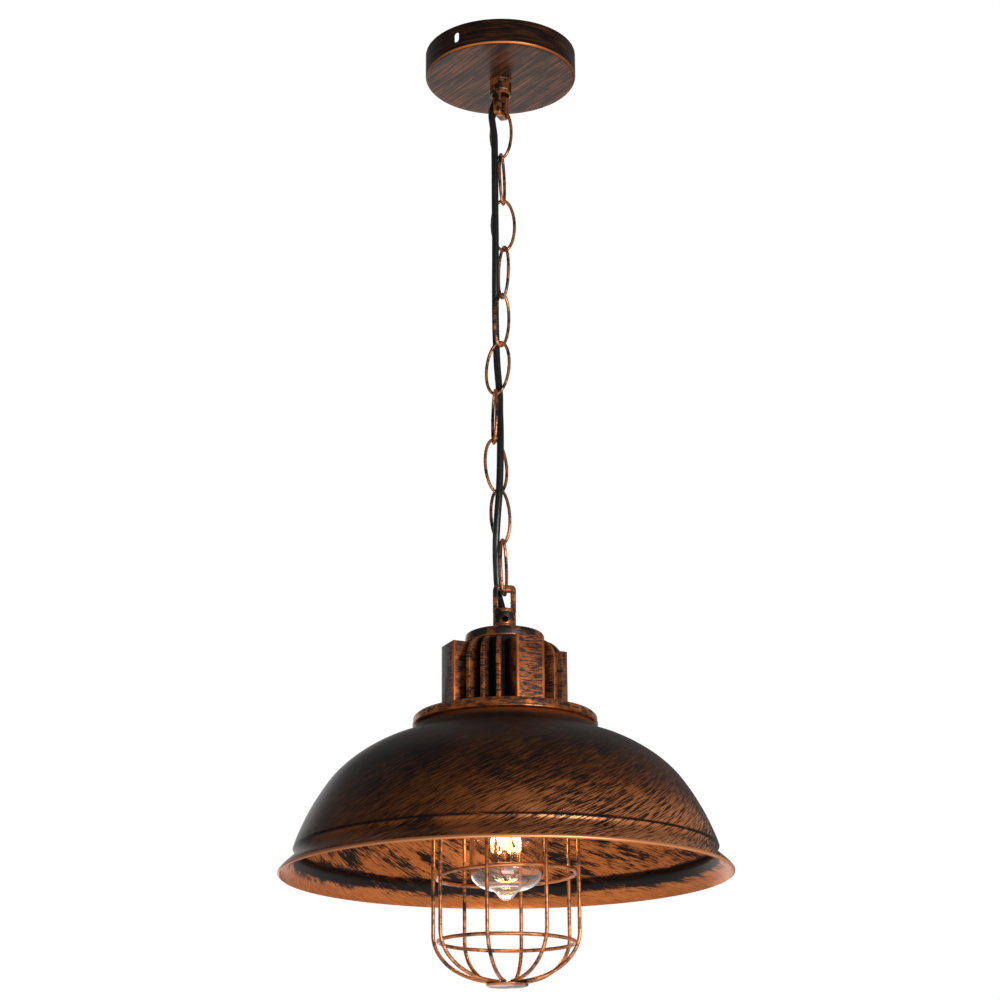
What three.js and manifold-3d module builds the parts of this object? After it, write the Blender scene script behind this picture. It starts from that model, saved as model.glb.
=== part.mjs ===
// Pendant ceiling light: a ceiling bracket and canopy, a ten-link chain with the flex threaded along
// it, a finned cast housing, a spun dome shade, a wire cage and an E27 filament bulb.
// Millimetres, +Z up. The origin is on the ceiling plane, on the canopy's axis. -Y is the front.
import * as THREE from 'three';
import { mergeVertices } from 'three/addons/utils/BufferGeometryUtils.js';
import Module from 'manifold-3d';

const wasm = await Module();
wasm.setup();

// ---- driving dimensions -------------------------------------------------------------------------
const GAP = 0.3;                        // clearance between pieces that touch

const CANOPY_RADIUS = 66;
const CANOPY_DEPTH = 23.5;
const CANOPY_WALL = 1.2;
const CANOPY_EDGE = 3;                  // rounding between the side wall and the face
const SLOT_WIDTH = 5.2;                 // the two oblong slots through the canopy's side wall
const SLOT_HEIGHT = 9.5;
const SLOT_Z = -11.3;
const SLOT_AZIMUTHS = [-35, 145];       // azimuths count from the front, positive to the right

const STRAP_LENGTH = 104;
const STRAP_WIDTH = 22;
const STRAP_THICKNESS = 2;
const FIXING_X = 36;                    // centres of the two ceiling screw slots
const FIXING_WIDTH = 5;
const FIXING_LENGTH = 12;
const BRIDGE_Z = -17;                   // underside of the bridge that the canopy's tube hangs from
const BRIDGE_SPAN = 30;
const BRIDGE_WIDTH = 16;
const BRIDGE_THICKNESS = 1.8;
const LUG_WIDTH = 24;                   // the lug that carries the terminal block
const LUG_REACH = 40;
const EARTH_X = -22;

const BLOCK_Y = 29;                     // the terminal block's middle
const BLOCK_WIDTH_X = 20;
const BLOCK_DEPTH = 18;
const BLOCK_BOTTOM = -13;
const POLES = [-5, 5];
const CORE_Z = -7.6;                    // height of the cores where they enter the terminal block
const CORE_RADIUS = 0.95;

const THREAD_RADIUS = 5;                // M10 threaded tube
const THREAD_BORE = 3.9;
const THREAD_HOLE = 5.3;                // any hole that the tube passes through
const NUT_RADIUS = 8.6;

const LOOP_RADIUS = 9.4;                // the hanging loops: a collar with an eye on it
const LOOP_COLLAR = 15.7;
const LOOP_BORE = 7.4;
const LOOP_THREAD = 3.2;                // depth of the tapped hole in the collar's face
const LOOP_BAR = 33.5;                  // the collar's face to the middle of the eye's round bar
const LOOP_BAR_RADIUS = 3;
const LOOP_PLATE = 6.6;
const LOOP_WINDOW = 10.2;
const LOOP_CORNER = 4.5;
const CROSS_HOLE = 2.6;
const CROSS_HOLE_Z = 6;
const CANOPY_LOOP_TURN = 66;            // the loops' turns about the axis, from +X towards +Y
const LAMP_LOOP_TURN = 5;

const LINK_WIRE = 2.7;
const LINK_LENGTH = 47.03;              // between the middles of the wire at a link's two ends
const LINK_WIDTH = 19.3;                // and across its middle
// How far each link's lower end hangs off the axis along X, and how far the link is turned.
const LINK_OFFSETS = [0.3, 1.2, 1.7, 0.8, -2, -6.6, -7.6, -4.5, -0.8, 0];
const LINK_TURNS = [-24, 78, 2, -64, 52, -12, -80, 24, -38, -104];

const CORD_RADIUS = 3;
// The flex, out of the canopy's tube, in and out of the chain, and down into the lampholder's cap.
const CORD_ROUTE = [
  [0, 0, -9], [0, 0, -18], [-0.5, 0.1, -25], [-1.8, 0.2, -33], [-3.6, 0.3, -40],
  [-5.4, 0.2, -47], [-7.3, -0.9, -53], [-8, -2, -60], [-7.2, -4, -69], [-5.9, -5, -80],
  [-5.6, -5.2, -95], [-5.5, -5, -150], [-5.4, -5, -175], [-5.5, -4.4, -197], [-5.7, -2.4, -215],
  [-5.8, 0.3, -232], [-5.8, 2.6, -248], [-5.6, 4.6, -262], [-5.2, 5.6, -276], [-4.6, 5.5, -292],
  [-3.5, 5, -307], [-2.7, 4.3, -320], [-2.7, 2.8, -334], [-2.4, 0, -347], [-2.3, -3, -361],
  [-2.5, -5.2, -377], [-2.9, -6.3, -394], [-3.8, -6.6, -412], [-5.2, -5.8, -430],
  [-6.3, -3.4, -447], [-6.5, 0.6, -461], [-6.1, 4.4, -475], [-5.4, 6.6, -487], [-4.2, 6.6, -496],
  [-2.4, 5.1, -503.5], [-1.1, 3.4, -510], [-0.3, 1.2, -518], [0, 0.2, -526], [0, 0, -540],
  [0, 0, -618],
];

const CAP_RADIUS = 32.1;
const CAP_BOTTOM = -537;
const HUB_RADIUS = 30;
const HUB_CAVITY = 22;
const HUB_CROWN = 5;                    // thickness of the hub's top wall
const RIB_REACH = 50.5;                 // the four square ribs
const RIB_WIDTH = 24.6;
const RIB_TOP = -541;
const RIB_AZIMUTHS = [24, 114, 204, 294];
const FIN_TURNS = [30, 45, 60];         // the three thin fins after each rib
const FIN_THICKNESS = 3.6;
const FIN_REACH = 50;
const FIN_SHOULDER = 21;                // height of the fins' curved shoulder
const FLANGE_TOP = -592.4;
const FLANGE_BOTTOM = -604.6;
const FLANGE_RADIUS = 74.6;

const RIM_Z = -724.2;
const RIM_RADIUS = 180;
const SHADE_WALL = 1.3;
const SHADE_FLAT = 70;                  // radius of the shade's flat top
// The dome's outline: radius and drop below the flat top, down to the step above the lip.
const DOME = [[74.3, 3], [81.6, 9.3], [99.2, 16.3], [115.4, 25.3], [128.7, 35.3], [140.2, 47.3],
  [155.6, 71.3], [165.7, 93.3], [168, 100.2]];
// The lip's outline: radius and height above the rim.
const LIP = [[166.2, 17.9], [166, 15], [168.6, 11], [173.2, 7], [177.6, 3]];

const CAGE_RADIUS = 58.2;               // of the circle that the upright wires stand on
const CAGE_WIRE = 1.5;
const CAGE_AZIMUTHS = [-61.6, -14.7, 31.8, 76.8, 121, 168.4, 215.5, 263];
const CAGE_BEND = -770;                 // where the wires start to curve in
const CAGE_FOOT = 7;                    // how near the axis they end
const CAGE_RINGS = [
  { name: 'cage_upper_ring', z: -724.8, radius: 54.8, tilt: -2 },
  { name: 'cage_lower_ring', z: -776.8, radius: 53.6, tilt: 0.6 },
];
const CAGE_PLATE_RADIUS = 16.7;
const CAGE_PLATE_TOP = -809;
const CAGE_PLATE_BOTTOM = -810.8;
const CAGE_FLANGE_OUTER = 61;
const CAGE_FLANGE_INNER = 42;
const CAGE_FLANGE_THICKNESS = 2;
const SCREW_CIRCLE = 49;
const SCREW_AZIMUTHS = [0, 120, 240];
const SCREW_RADIUS = 2;

const HOLDER_RADIUS = 20;
const HOLDER_TOP = -612.5;
const HOLDER_SPLIT = -630;              // where the lampholder's cap meets its body
const HOLDER_BOTTOM = -664;
const HOLDER_BORE = 15;
const INSERT_TOP = -626;
const INSERT_BOTTOM = -631.5;
const TERMINAL_AZIMUTHS = [90, 210, 330];
const TERMINAL_CIRCLE = 9.5;

const BULB_RADIUS = 29;
const BULB_TIP = -634.2;                // the contact at the top of the bulb's cap
const BULB_CAP_RADIUS = 13;
const BULB_CAP_TOP = -637.8;
const BULB_CAP_BOTTOM = -661;
const GLASS_WALL = 0.9;
// The envelope's outline from the neck to the pip: radius and height.
const ENVELOPE = [[11.9, -652], [12, -662], [16, -668], [23, -678.5], [28, -692], [29, -704],
  [29.2, -716], [29.1, -723], [26.8, -728.5], [22.2, -732.7], [16.4, -735.4], [10.6, -736.8],
  [7.9, -739], [5.8, -741.6], [2.8, -743.7], [0, -744.2]];
const FILAMENT_LOOPS = 3;               // the filament's loops, and half the angle of each bend
const FILAMENT_BEND = 18;
const FILAMENT_TURN = 15;
const FILAMENT_RADIUS = 0.6;

const ROUND = 36;                       // segments round the large turned pieces
const SMALL = 12;                       // and round the small ones

// ---- materials ----------------------------------------------------------------------------------
const finish = (color, roughness, metalness) =>
  new THREE.MeshStandardMaterial({ color, roughness, metalness });
const AGED = finish(0x5a3420, 0.5, 0.6);
const COPPER = finish(0xb06c42, 0.4, 0.8);
const STEEL = finish(0xb4b6b8, 0.35, 0.9);
const BRASS = finish(0xc9a24a, 0.3, 0.9);
const BLACK_PVC = finish(0x141414, 0.35, 0);
const LIVE_PVC = finish(0x7a4a2a, 0.4, 0);
const NEUTRAL_PVC = finish(0x2a5a9a, 0.4, 0);
const EARTH_PVC = finish(0x6f9a2c, 0.4, 0);
const BAKELITE = finish(0x1c1a18, 0.4, 0);
const PORCELAIN = finish(0xece8df, 0.3, 0);
const NYLON = finish(0xe6e2d4, 0.5, 0);
const GLASS = new THREE.MeshStandardMaterial({
  color: 0xf4efe6, roughness: 0.05, metalness: 0, transparent: true, opacity: 0.3,
});
const GLOW = new THREE.MeshStandardMaterial({ color: 0xffd890, emissive: 0xffb040 });

// ---- helpers ------------------------------------------------------------------------------------
const light = new THREE.Group();
const radians = THREE.MathUtils.degToRad;
const v2 = (x, y) => new THREE.Vector2(x, y);
const v3 = (x, y, z) => new THREE.Vector3(x, y, z);

function add(name, geometry, material) {
  const mesh = new THREE.Mesh(geometry, material);
  mesh.name = name;
  light.add(mesh);
  return mesh;
}

// A point at an azimuth from the front (-Y), positive to the right.
function around(azimuth, radius, z) {
  const a = radians(azimuth);
  return v3(radius * Math.sin(a), -radius * Math.cos(a), z);
}

function toSolid(geometry) {
  const bare = geometry.clone();
  bare.deleteAttribute('normal');
  bare.deleteAttribute('uv');
  const merged = mergeVertices(bare, 1e-4);
  const corners = merged.index.array;
  const kept = [];
  for (let i = 0; i < corners.length; i += 3) {
    const [a, b, c] = corners.slice(i, i + 3);
    if (a !== b && b !== c && c !== a) kept.push(a, b, c);
  }
  return new wasm.Manifold(new wasm.Mesh({
    numProp: 3,
    vertProperties: new Float32Array(merged.attributes.position.array),
    triVerts: new Uint32Array(kept),
  }));
}

function toGeometry(solid) {
  const mesh = solid.getMesh();
  const geometry = new THREE.BufferGeometry();
  geometry.setAttribute('position', new THREE.BufferAttribute(mesh.vertProperties, 3));
  geometry.setIndex(new THREE.BufferAttribute(mesh.triVerts, 1));
  return geometry;
}

const join = (pieces) => pieces.map(toSolid).reduce((a, b) => a.add(b));
const cut = (solid, tools) => tools.map(toSolid).reduce((a, b) => a.subtract(b), solid);

// A turned piece: its outline of [radius, z] points runs from axis to axis or closes on itself.
function turned(outline, segments = ROUND) {
  const points = outline.map(([r, z]) => v2(r, z));
  if (THREE.ShapeUtils.area(points) < 0) points.reverse();
  const solid = points[0].x === 0 && points[points.length - 1].x === 0;
  if (!solid) points.push(points[0].clone());
  return new THREE.LatheGeometry(points, segments).rotateX(Math.PI / 2);
}

const ring = (outer, inner, low, high, segments = SMALL) =>
  turned([[inner, low], [outer, low], [outer, high], [inner, high]], segments);

const rod = (radius, low, high, segments = SMALL) =>
  turned([[0, low], [radius, low], [radius, high], [0, high]], segments);

const box = (width, depth, low, high, x = 0, y = 0) =>
  new THREE.BoxGeometry(width, depth, high - low).translate(x, y, (low + high) / 2);

// A round bar along Y.
const crossBar = (radius, length, z) =>
  new THREE.CylinderGeometry(radius, radius, length, 12).translate(0, 0, z);

// A wire or flex along an open curve.
function tube(curve, radius, steps, sides) {
  const section = new THREE.Shape();
  for (let i = 0; i < sides; i += 1) {
    const a = (2 * Math.PI * i) / sides;
    const corner = [radius * Math.cos(a), radius * Math.sin(a)];
    if (i === 0) section.moveTo(...corner);
    else section.lineTo(...corner);
  }
  return new THREE.ExtrudeGeometry(section, { steps, extrudePath: curve, bevelEnabled: false });
}

const smooth = (points) =>
  new THREE.CatmullRomCurve3(points.map((p) => v3(...p)), false, 'centripetal');

// The inner side of a sheet whose outer side runs through the points, from the middle outwards.
function innerSide(points, wall) {
  return points.map((point, i) => {
    const before = points[Math.max(i - 1, 0)];
    const after = points[Math.min(i + 1, points.length - 1)];
    const along = v2(after[0] - before[0], after[1] - before[1]).normalize();
    return [point[0] + along.y * wall, point[1] - along.x * wall];
  });
}

// The [radius, z] points of a smooth outline through a few of them.
const splined = (points, divisions) =>
  new THREE.SplineCurve(points.map(([r, z]) => v2(r, z))).getPoints(divisions)
    .map((p) => [p.x, p.y]);

// ---- ceiling bracket ----------------------------------------------------------------------------
function ceilingBracket() {
  const legX = (BRIDGE_SPAN - BRIDGE_THICKNESS) / 2;
  const metal = [
    box(STRAP_LENGTH, STRAP_WIDTH, -STRAP_THICKNESS, 0),
    box(LUG_WIDTH, LUG_REACH, -STRAP_THICKNESS, 0, 0, LUG_REACH / 2),
    box(BRIDGE_THICKNESS, BRIDGE_WIDTH, BRIDGE_Z, -1, -legX),
    box(BRIDGE_THICKNESS, BRIDGE_WIDTH, BRIDGE_Z, -1, legX),
    box(BRIDGE_SPAN, BRIDGE_WIDTH, BRIDGE_Z, BRIDGE_Z + BRIDGE_THICKNESS),
  ];
  const round = (FIXING_LENGTH - FIXING_WIDTH) / 2;
  const fixings = [-FIXING_X, FIXING_X].flatMap((x) => [
    box(2 * round, FIXING_WIDTH, -3, 1, x),
    rod(FIXING_WIDTH / 2, -3, 1).translate(x - round, 0, 0),
    rod(FIXING_WIDTH / 2, -3, 1).translate(x + round, 0, 0),
  ]);
  const holes = [
    rod(THREAD_HOLE, BRIDGE_Z - 1, BRIDGE_Z + 3),
    rod(SCREW_RADIUS + GAP, -3, 1).translate(EARTH_X, 0, 0),
  ];
  return toGeometry(cut(join(metal), [...fixings, ...holes]));
}

function earthScrew() {
  const head = -STRAP_THICKNESS - GAP;
  return turned([
    [0, head - 3], [2.8, head - 2.7], [4, head - 1.2], [4, head], [SCREW_RADIUS, head],
    [SCREW_RADIUS, -GAP], [0, -GAP],
  ], SMALL).translate(EARTH_X, 0, 0);
}

function terminalBlock() {
  const front = BLOCK_Y - BLOCK_DEPTH / 2;
  const body = box(BLOCK_WIDTH_X, BLOCK_DEPTH, BLOCK_BOTTOM, -STRAP_THICKNESS - GAP, 0, BLOCK_Y);
  const holes = POLES.flatMap((x) => [
    crossBar(1.7, 12, CORE_Z).translate(x, front + 5, 0),
    rod(2, BLOCK_BOTTOM - 1, CORE_Z, 12).translate(x, BLOCK_Y, 0),
  ]);
  return toGeometry(cut(toSolid(body), holes));
}

const terminalScrew = (x) =>
  rod(1.7, BLOCK_BOTTOM + 0.6, CORE_Z - CORE_RADIUS - GAP, 12).translate(x, BLOCK_Y, 0);

// The live or neutral core, from the flex's end into its pole of the terminal block.
const blockCore = (x) => tube(smooth([
  [x / 4, 1, -8.5], [x / 4, 1.4, -6.9], [x / 3.4, 4, -5], [x / 1.5, 9, -5.2], [x, 14.5, CORE_Z],
  [x, BLOCK_Y - 1, CORE_Z],
]), CORE_RADIUS, 12, 8);

// The earth core, round the bridge's leg to the earth screw.
const earthCore = () => tube(smooth([
  [0, -1.6, -8.4], [-0.2, -1.9, -7], [-4, -6, -5], [-10, -10.4, -4.8], [-17, -12, -4.4],
  [-21, -10.4, -3.9], [EARTH_X, -5.2, -3.6],
]), CORE_RADIUS, 14, 8);

// ---- canopy -------------------------------------------------------------------------------------
// An oblong cutter that stands through the canopy's side wall.
function slotCutter(azimuth) {
  const half = (SLOT_HEIGHT - SLOT_WIDTH) / 2;
  const shape = new THREE.Shape();
  shape.absarc(0, half, SLOT_WIDTH / 2, 0, Math.PI, false);
  shape.absarc(0, -half, SLOT_WIDTH / 2, Math.PI, 2 * Math.PI, false);
  return new THREE.ExtrudeGeometry(shape, { depth: 12, bevelEnabled: false, curveSegments: 6 })
    .rotateX(Math.PI / 2)
    .translate(0, 6 - CANOPY_RADIUS, SLOT_Z)
    .rotateZ(radians(azimuth));
}

function canopyCup() {
  const face = -CANOPY_DEPTH;
  const edge = [0, 30, 60, 90].map((deg) => [
    CANOPY_RADIUS - CANOPY_EDGE * (1 - Math.sin(radians(deg))),
    face + CANOPY_EDGE * (1 - Math.cos(radians(deg))),
  ]);
  const outer = [[THREAD_HOLE, face], ...edge, [CANOPY_RADIUS, -GAP]];
  const inner = innerSide(outer, -CANOPY_WALL).reverse();
  return toGeometry(cut(toSolid(turned([...outer, ...inner])), SLOT_AZIMUTHS.map(slotCutter)));
}

const tubeNipple = (low, high) => ring(THREAD_RADIUS, THREAD_BORE, low, high, 16);

function hexNut(low, high) {
  const shape = new THREE.Shape();
  for (let i = 0; i < 6; i += 1) {
    const a = (Math.PI * i) / 3;
    const corner = [NUT_RADIUS * Math.cos(a), NUT_RADIUS * Math.sin(a)];
    if (i === 0) shape.moveTo(...corner);
    else shape.lineTo(...corner);
  }
  shape.holes.push(new THREE.Path().absarc(0, 0, THREAD_HOLE, 0, 2 * Math.PI, true));
  return new THREE.ExtrudeGeometry(shape, {
    depth: high - low, bevelEnabled: false, curveSegments: 8,
  }).translate(0, 0, low);
}

// A hanging loop standing on its collar's face at z 0, its eye above it in the XZ plane.
function hangingLoop() {
  const r = LOOP_RADIUS;
  const top = LOOP_BAR + LOOP_BAR_RADIUS;
  const c = LOOP_CORNER;
  const outline = new THREE.Shape();
  outline.moveTo(-r, LOOP_COLLAR - 4);
  outline.lineTo(r, LOOP_COLLAR - 4);
  outline.absarc(r - c, top - c, c, 0, Math.PI / 2, false);
  outline.absarc(c - r, top - c, c, Math.PI / 2, Math.PI, false);
  const plate = new THREE.ExtrudeGeometry(outline, {
    depth: LOOP_PLATE, bevelEnabled: false, curveSegments: 4,
  }).rotateX(Math.PI / 2).translate(0, LOOP_PLATE / 2, 0);
  const collar = turned([
    [0, 0], [r, 0], [r, 2.2], [r - 0.5, 2.6], [r, 3], [r, LOOP_COLLAR - 3.4],
    [r - 0.5, LOOP_COLLAR - 3], [r, LOOP_COLLAR - 2.6], [r, LOOP_COLLAR], [0, LOOP_COLLAR],
  ], 16);
  const bar = crossBar(LOOP_BAR_RADIUS, 13, LOOP_BAR).rotateZ(Math.PI / 2);
  const open = cut(join([plate, collar]), [
    rod(LOOP_BORE, LOOP_THREAD, LOOP_COLLAR, 16),
    rod(THREAD_HOLE, -1, LOOP_THREAD + 1, 16),
    box(LOOP_WINDOW, 20, LOOP_COLLAR - 0.1, LOOP_BAR),
    crossBar(CROSS_HOLE, 30, CROSS_HOLE_Z),
  ]);
  return toGeometry(open.add(toSolid(bar)));
}

// ---- chain --------------------------------------------------------------------------------------
const CANOPY_LOOP_FACE = -CANOPY_DEPTH - GAP;
const ON_BAR = LOOP_BAR_RADIUS + GAP + LINK_WIRE / 2;
const ON_LINK = LINK_WIRE + GAP;

// What each link turns on, from the canopy's bar down, then what the lamp turns on.
function chainPivots() {
  const pivots = [v3(0, 0, CANOPY_LOOP_FACE - LOOP_BAR)];
  LINK_OFFSETS.forEach((x, i) => {
    const above = pivots[i];
    const pitch = LINK_LENGTH - (i === 0 ? ON_BAR : ON_LINK);
    pivots.push(v3(x, 0, above.z - Math.sqrt(pitch ** 2 - (x - above.x) ** 2)));
  });
  return pivots;
}

const PIVOTS = chainPivots();
const LAMP_LOOP_FACE = PIVOTS[PIVOTS.length - 1].z + ON_BAR - LOOP_BAR;

// A link: a closed ring of round wire on an oval, in the XZ plane.
function linkWire(steps, sides) {
  const positions = [];
  const indices = [];
  for (let i = 0; i < steps; i += 1) {
    const even = (2 * Math.PI * i) / steps;
    const a = even - 0.33 * Math.sin(2 * even);   // closer together round the tight ends
    const middle = v2(Math.sin(a) * LINK_WIDTH, Math.cos(a) * LINK_LENGTH).divideScalar(2);
    const out = v2(Math.sin(a) * LINK_LENGTH, Math.cos(a) * LINK_WIDTH).normalize();
    for (let k = 0; k < sides; k += 1) {
      const b = (2 * Math.PI * k) / sides;
      const reach = Math.cos(b) * (LINK_WIRE / 2);
      positions.push(middle.x + out.x * reach, Math.sin(b) * (LINK_WIRE / 2));
      positions.push(middle.y + out.y * reach);
      const next = ((i + 1) % steps) * sides;
      const turn = (k + 1) % sides;
      indices.push(i * sides + k, next + k, i * sides + turn);
      indices.push(i * sides + turn, next + k, next + turn);
    }
  }
  const geometry = new THREE.BufferGeometry();
  geometry.setAttribute('position', new THREE.Float32BufferAttribute(positions, 3));
  geometry.setIndex(indices);
  return geometry;
}

function chain() {
  const wire = linkWire(20, 6);
  LINK_TURNS.forEach((turn, i) => {
    const low = PIVOTS[i + 1];
    const up = PIVOTS[i].clone().sub(low).normalize();
    const side = v3(Math.cos(radians(turn)), Math.sin(radians(turn)), 0);
    side.addScaledVector(up, -side.dot(up)).normalize();
    const link = add(`chain_link_${String(i + 1).padStart(2, '0')}`, wire, COPPER);
    link.position.copy(low).addScaledVector(up, LINK_LENGTH / 2);
    const facing = new THREE.Matrix4().makeBasis(side, up.clone().cross(side), up);
    link.quaternion.setFromRotationMatrix(facing);
  });
}

// ---- housing ------------------------------------------------------------------------------------
const CAP_TOP = LAMP_LOOP_FACE - GAP;
const HUB_TOP = CAP_BOTTOM - GAP;

function housingCap() {
  return turned([
    [THREAD_HOLE, CAP_TOP - 4], [24, CAP_TOP - 7], [26, CAP_BOTTOM], [CAP_RADIUS, CAP_BOTTOM],
    [CAP_RADIUS, CAP_BOTTOM + 5.4], [31.3, CAP_BOTTOM + 7.3], [29, CAP_BOTTOM + 8.4],
    [12, CAP_TOP], [THREAD_HOLE, CAP_TOP],
  ]);
}

// A rib or fin from its outline of [reach, z] points, standing at an azimuth.
function radialPlate(outline, thickness, azimuth) {
  const shape = new THREE.Shape(outline.map(([r, z]) => v2(r, z)));
  return new THREE.ExtrudeGeometry(shape, { depth: thickness, bevelEnabled: false })
    .rotateX(Math.PI / 2)
    .translate(0, thickness / 2, 0)
    .rotateZ(radians(azimuth - 90));
}

function finnedHousing() {
  const body = turned([
    [HUB_CAVITY, FLANGE_BOTTOM], [FLANGE_RADIUS, FLANGE_BOTTOM],
    [FLANGE_RADIUS, FLANGE_BOTTOM + 1.2], [FLANGE_RADIUS - 0.6, FLANGE_BOTTOM + 1.5],
    [FLANGE_RADIUS - 0.6, FLANGE_BOTTOM + 5.4], [FLANGE_RADIUS - 2.4, FLANGE_BOTTOM + 7.4],
    [52, FLANGE_TOP], [HUB_RADIUS, FLANGE_TOP], [HUB_RADIUS, HUB_TOP], [THREAD_HOLE, HUB_TOP],
    [THREAD_HOLE, HUB_TOP - HUB_CROWN], [HUB_CAVITY, HUB_TOP - HUB_CROWN],
  ]);
  const root = (HUB_RADIUS + HUB_CAVITY) / 2;
  const foot = FLANGE_TOP - 2;
  const rib = [[root, foot], [RIB_REACH, foot], [RIB_REACH, RIB_TOP], [root, RIB_TOP]];
  const finTop = HUB_TOP - 0.6;
  const shoulder = [0, 22.5, 45, 67.5, 90].map((deg) => [
    CAP_RADIUS + (FIN_REACH - CAP_RADIUS) * Math.cos(radians(deg)),
    finTop - FIN_SHOULDER * (1 - Math.sin(radians(deg))),
  ]);
  const fin = [[root, foot], [FIN_REACH, foot], ...shoulder, [root, finTop]];
  const plates = RIB_AZIMUTHS.flatMap((azimuth) => [
    radialPlate(rib, RIB_WIDTH, azimuth),
    ...FIN_TURNS.map((turn) => radialPlate(fin, FIN_THICKNESS, azimuth + turn)),
  ]);
  return toGeometry(cut(join([body, ...plates]), screwHoles(FLANGE_BOTTOM - 1, FLANGE_BOTTOM + 8)));
}

const screwHoles = (low, high) => SCREW_AZIMUTHS.map((azimuth) => {
  const at = around(azimuth, SCREW_CIRCLE, 0);
  return rod(SCREW_RADIUS + GAP, low, high, 12).translate(at.x, at.y, 0);
});

// ---- shade --------------------------------------------------------------------------------------
const SHADE_TOP = FLANGE_BOTTOM - GAP;

function shade() {
  const dome = splined(DOME.map(([r, drop]) => [r, SHADE_TOP - drop]), 10);
  const lip = LIP.map(([r, up]) => [r, RIM_Z + up]);
  const outer = [[THREAD_HOLE, SHADE_TOP], [SHADE_FLAT, SHADE_TOP], [SHADE_FLAT + 3, SHADE_TOP - 0.9],
    ...dome, ...lip];
  const inner = innerSide(outer, SHADE_WALL);
  const roll = [0, 60, 120, 180].map((deg) => [
    RIM_RADIUS - 1.4 + 1.4 * Math.cos(radians(90 - deg)),
    RIM_Z + 1.4 * Math.sin(radians(90 - deg)),
  ]);
  const solid = toSolid(turned([...outer, ...roll, ...inner.reverse()]));
  return toGeometry(cut(solid, screwHoles(SHADE_TOP - 3, SHADE_TOP + 1)));
}

// ---- cage ---------------------------------------------------------------------------------------
const CAGE_FLANGE_TOP = SHADE_TOP - SHADE_WALL - GAP;
const CAGE_FLANGE_BOTTOM = CAGE_FLANGE_TOP - CAGE_FLANGE_THICKNESS;

function cageTopRing() {
  const flange = ring(CAGE_FLANGE_OUTER, CAGE_FLANGE_INNER, CAGE_FLANGE_BOTTOM, CAGE_FLANGE_TOP, 24);
  return toGeometry(cut(toSolid(flange), screwHoles(CAGE_FLANGE_BOTTOM - 1, CAGE_FLANGE_TOP + 1)));
}

// An upright wire that curves in under the bulb to the bottom plate.
function cageWire(azimuth) {
  const end = CAGE_PLATE_TOP + GAP + CAGE_WIRE;
  const points = [v3(CAGE_RADIUS, 0, CAGE_FLANGE_BOTTOM - GAP)];
  for (let deg = 0; deg <= 90; deg += 10) {
    const a = radians(deg);
    const reach = CAGE_FOOT + (CAGE_RADIUS - CAGE_FOOT) * Math.cos(a);
    points.push(v3(reach, 0, CAGE_BEND - (CAGE_BEND - end) * Math.sin(a)));
  }
  const path = new THREE.CurvePath();
  points.slice(1).forEach((point, i) => path.add(new THREE.LineCurve3(points[i], point)));
  return tube(path, CAGE_WIRE, 18, 6).rotateZ(radians(azimuth - 90));
}

function cageRing({ radius, z, tilt }) {
  return new THREE.TorusGeometry(radius, CAGE_WIRE, 6, 32).rotateY(radians(tilt)).translate(0, 0, z);
}

function cagePlate() {
  return turned([
    [0, CAGE_PLATE_BOTTOM], [CAGE_PLATE_RADIUS - 1, CAGE_PLATE_BOTTOM],
    [CAGE_PLATE_RADIUS, CAGE_PLATE_BOTTOM + 1], [CAGE_PLATE_RADIUS, CAGE_PLATE_TOP],
    [0, CAGE_PLATE_TOP],
  ], 24);
}

function cageScrew(azimuth) {
  const head = CAGE_FLANGE_BOTTOM - GAP;
  const at = around(azimuth, SCREW_CIRCLE, 0);
  return turned([
    [0, head - 2.2], [2.6, head - 2], [3.8, head - 0.8], [3.8, head], [SCREW_RADIUS, head],
    [SCREW_RADIUS, FLANGE_BOTTOM + 7], [0, FLANGE_BOTTOM + 7],
  ], 12).translate(at.x, at.y, 0);
}

// ---- lampholder ---------------------------------------------------------------------------------
function holderCap() {
  return turned([
    [THREAD_HOLE, HOLDER_TOP - 2.5], [14, HOLDER_TOP - 2.5], [18, HOLDER_TOP - 6],
    [18, HOLDER_SPLIT], [HOLDER_RADIUS, HOLDER_SPLIT], [HOLDER_RADIUS, HOLDER_TOP - 5],
    [15, HOLDER_TOP], [THREAD_HOLE, HOLDER_TOP],
  ], 24);
}

// A core from the flex's end, out over the insert to its terminal.
function holderCore(azimuth) {
  const low = INSERT_TOP + GAP + CORE_RADIUS;
  const route = [[1.35, -618.4], [1.6, -620], [4, low + 1], [TERMINAL_CIRCLE, low]];
  return tube(smooth(route.map(([r, z]) => around(azimuth, r, z).toArray())), CORE_RADIUS, 8, 8);
}

// ---- bulb ---------------------------------------------------------------------------------------
function bulbGlass() {
  const outer = ENVELOPE;
  const inner = innerSide(outer, GLASS_WALL);
  inner[inner.length - 1] = [0, outer[outer.length - 1][1] + GLASS_WALL];
  return turned([...outer.slice().reverse(), ...inner], 24);
}

function bulbStem() {
  return turned([
    [0, -690], [1.6, -690], [2.2, -676], [3.4, -668], [8.6, -656], [10.4, -653], [0, -653],
  ], SMALL);
}

// One filament, hung in long loops round a cone that widens downwards.
function bulbFilament() {
  const bends = [];
  for (let i = 0; i < 2 * FILAMENT_LOOPS; i += 1) {
    const azimuth = (180 / FILAMENT_LOOPS) * i + FILAMENT_TURN;
    const [radius, z] = i % 2 ? [12, -699] : [6, -672];
    bends.push(around(azimuth - FILAMENT_BEND, radius, z));
    bends.push(around(azimuth + FILAMENT_BEND, radius, z));
  }
  const path = smooth(bends.map((point) => point.toArray()));
  return tube(path, FILAMENT_RADIUS, 40 * FILAMENT_LOOPS, 5);
}

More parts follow.
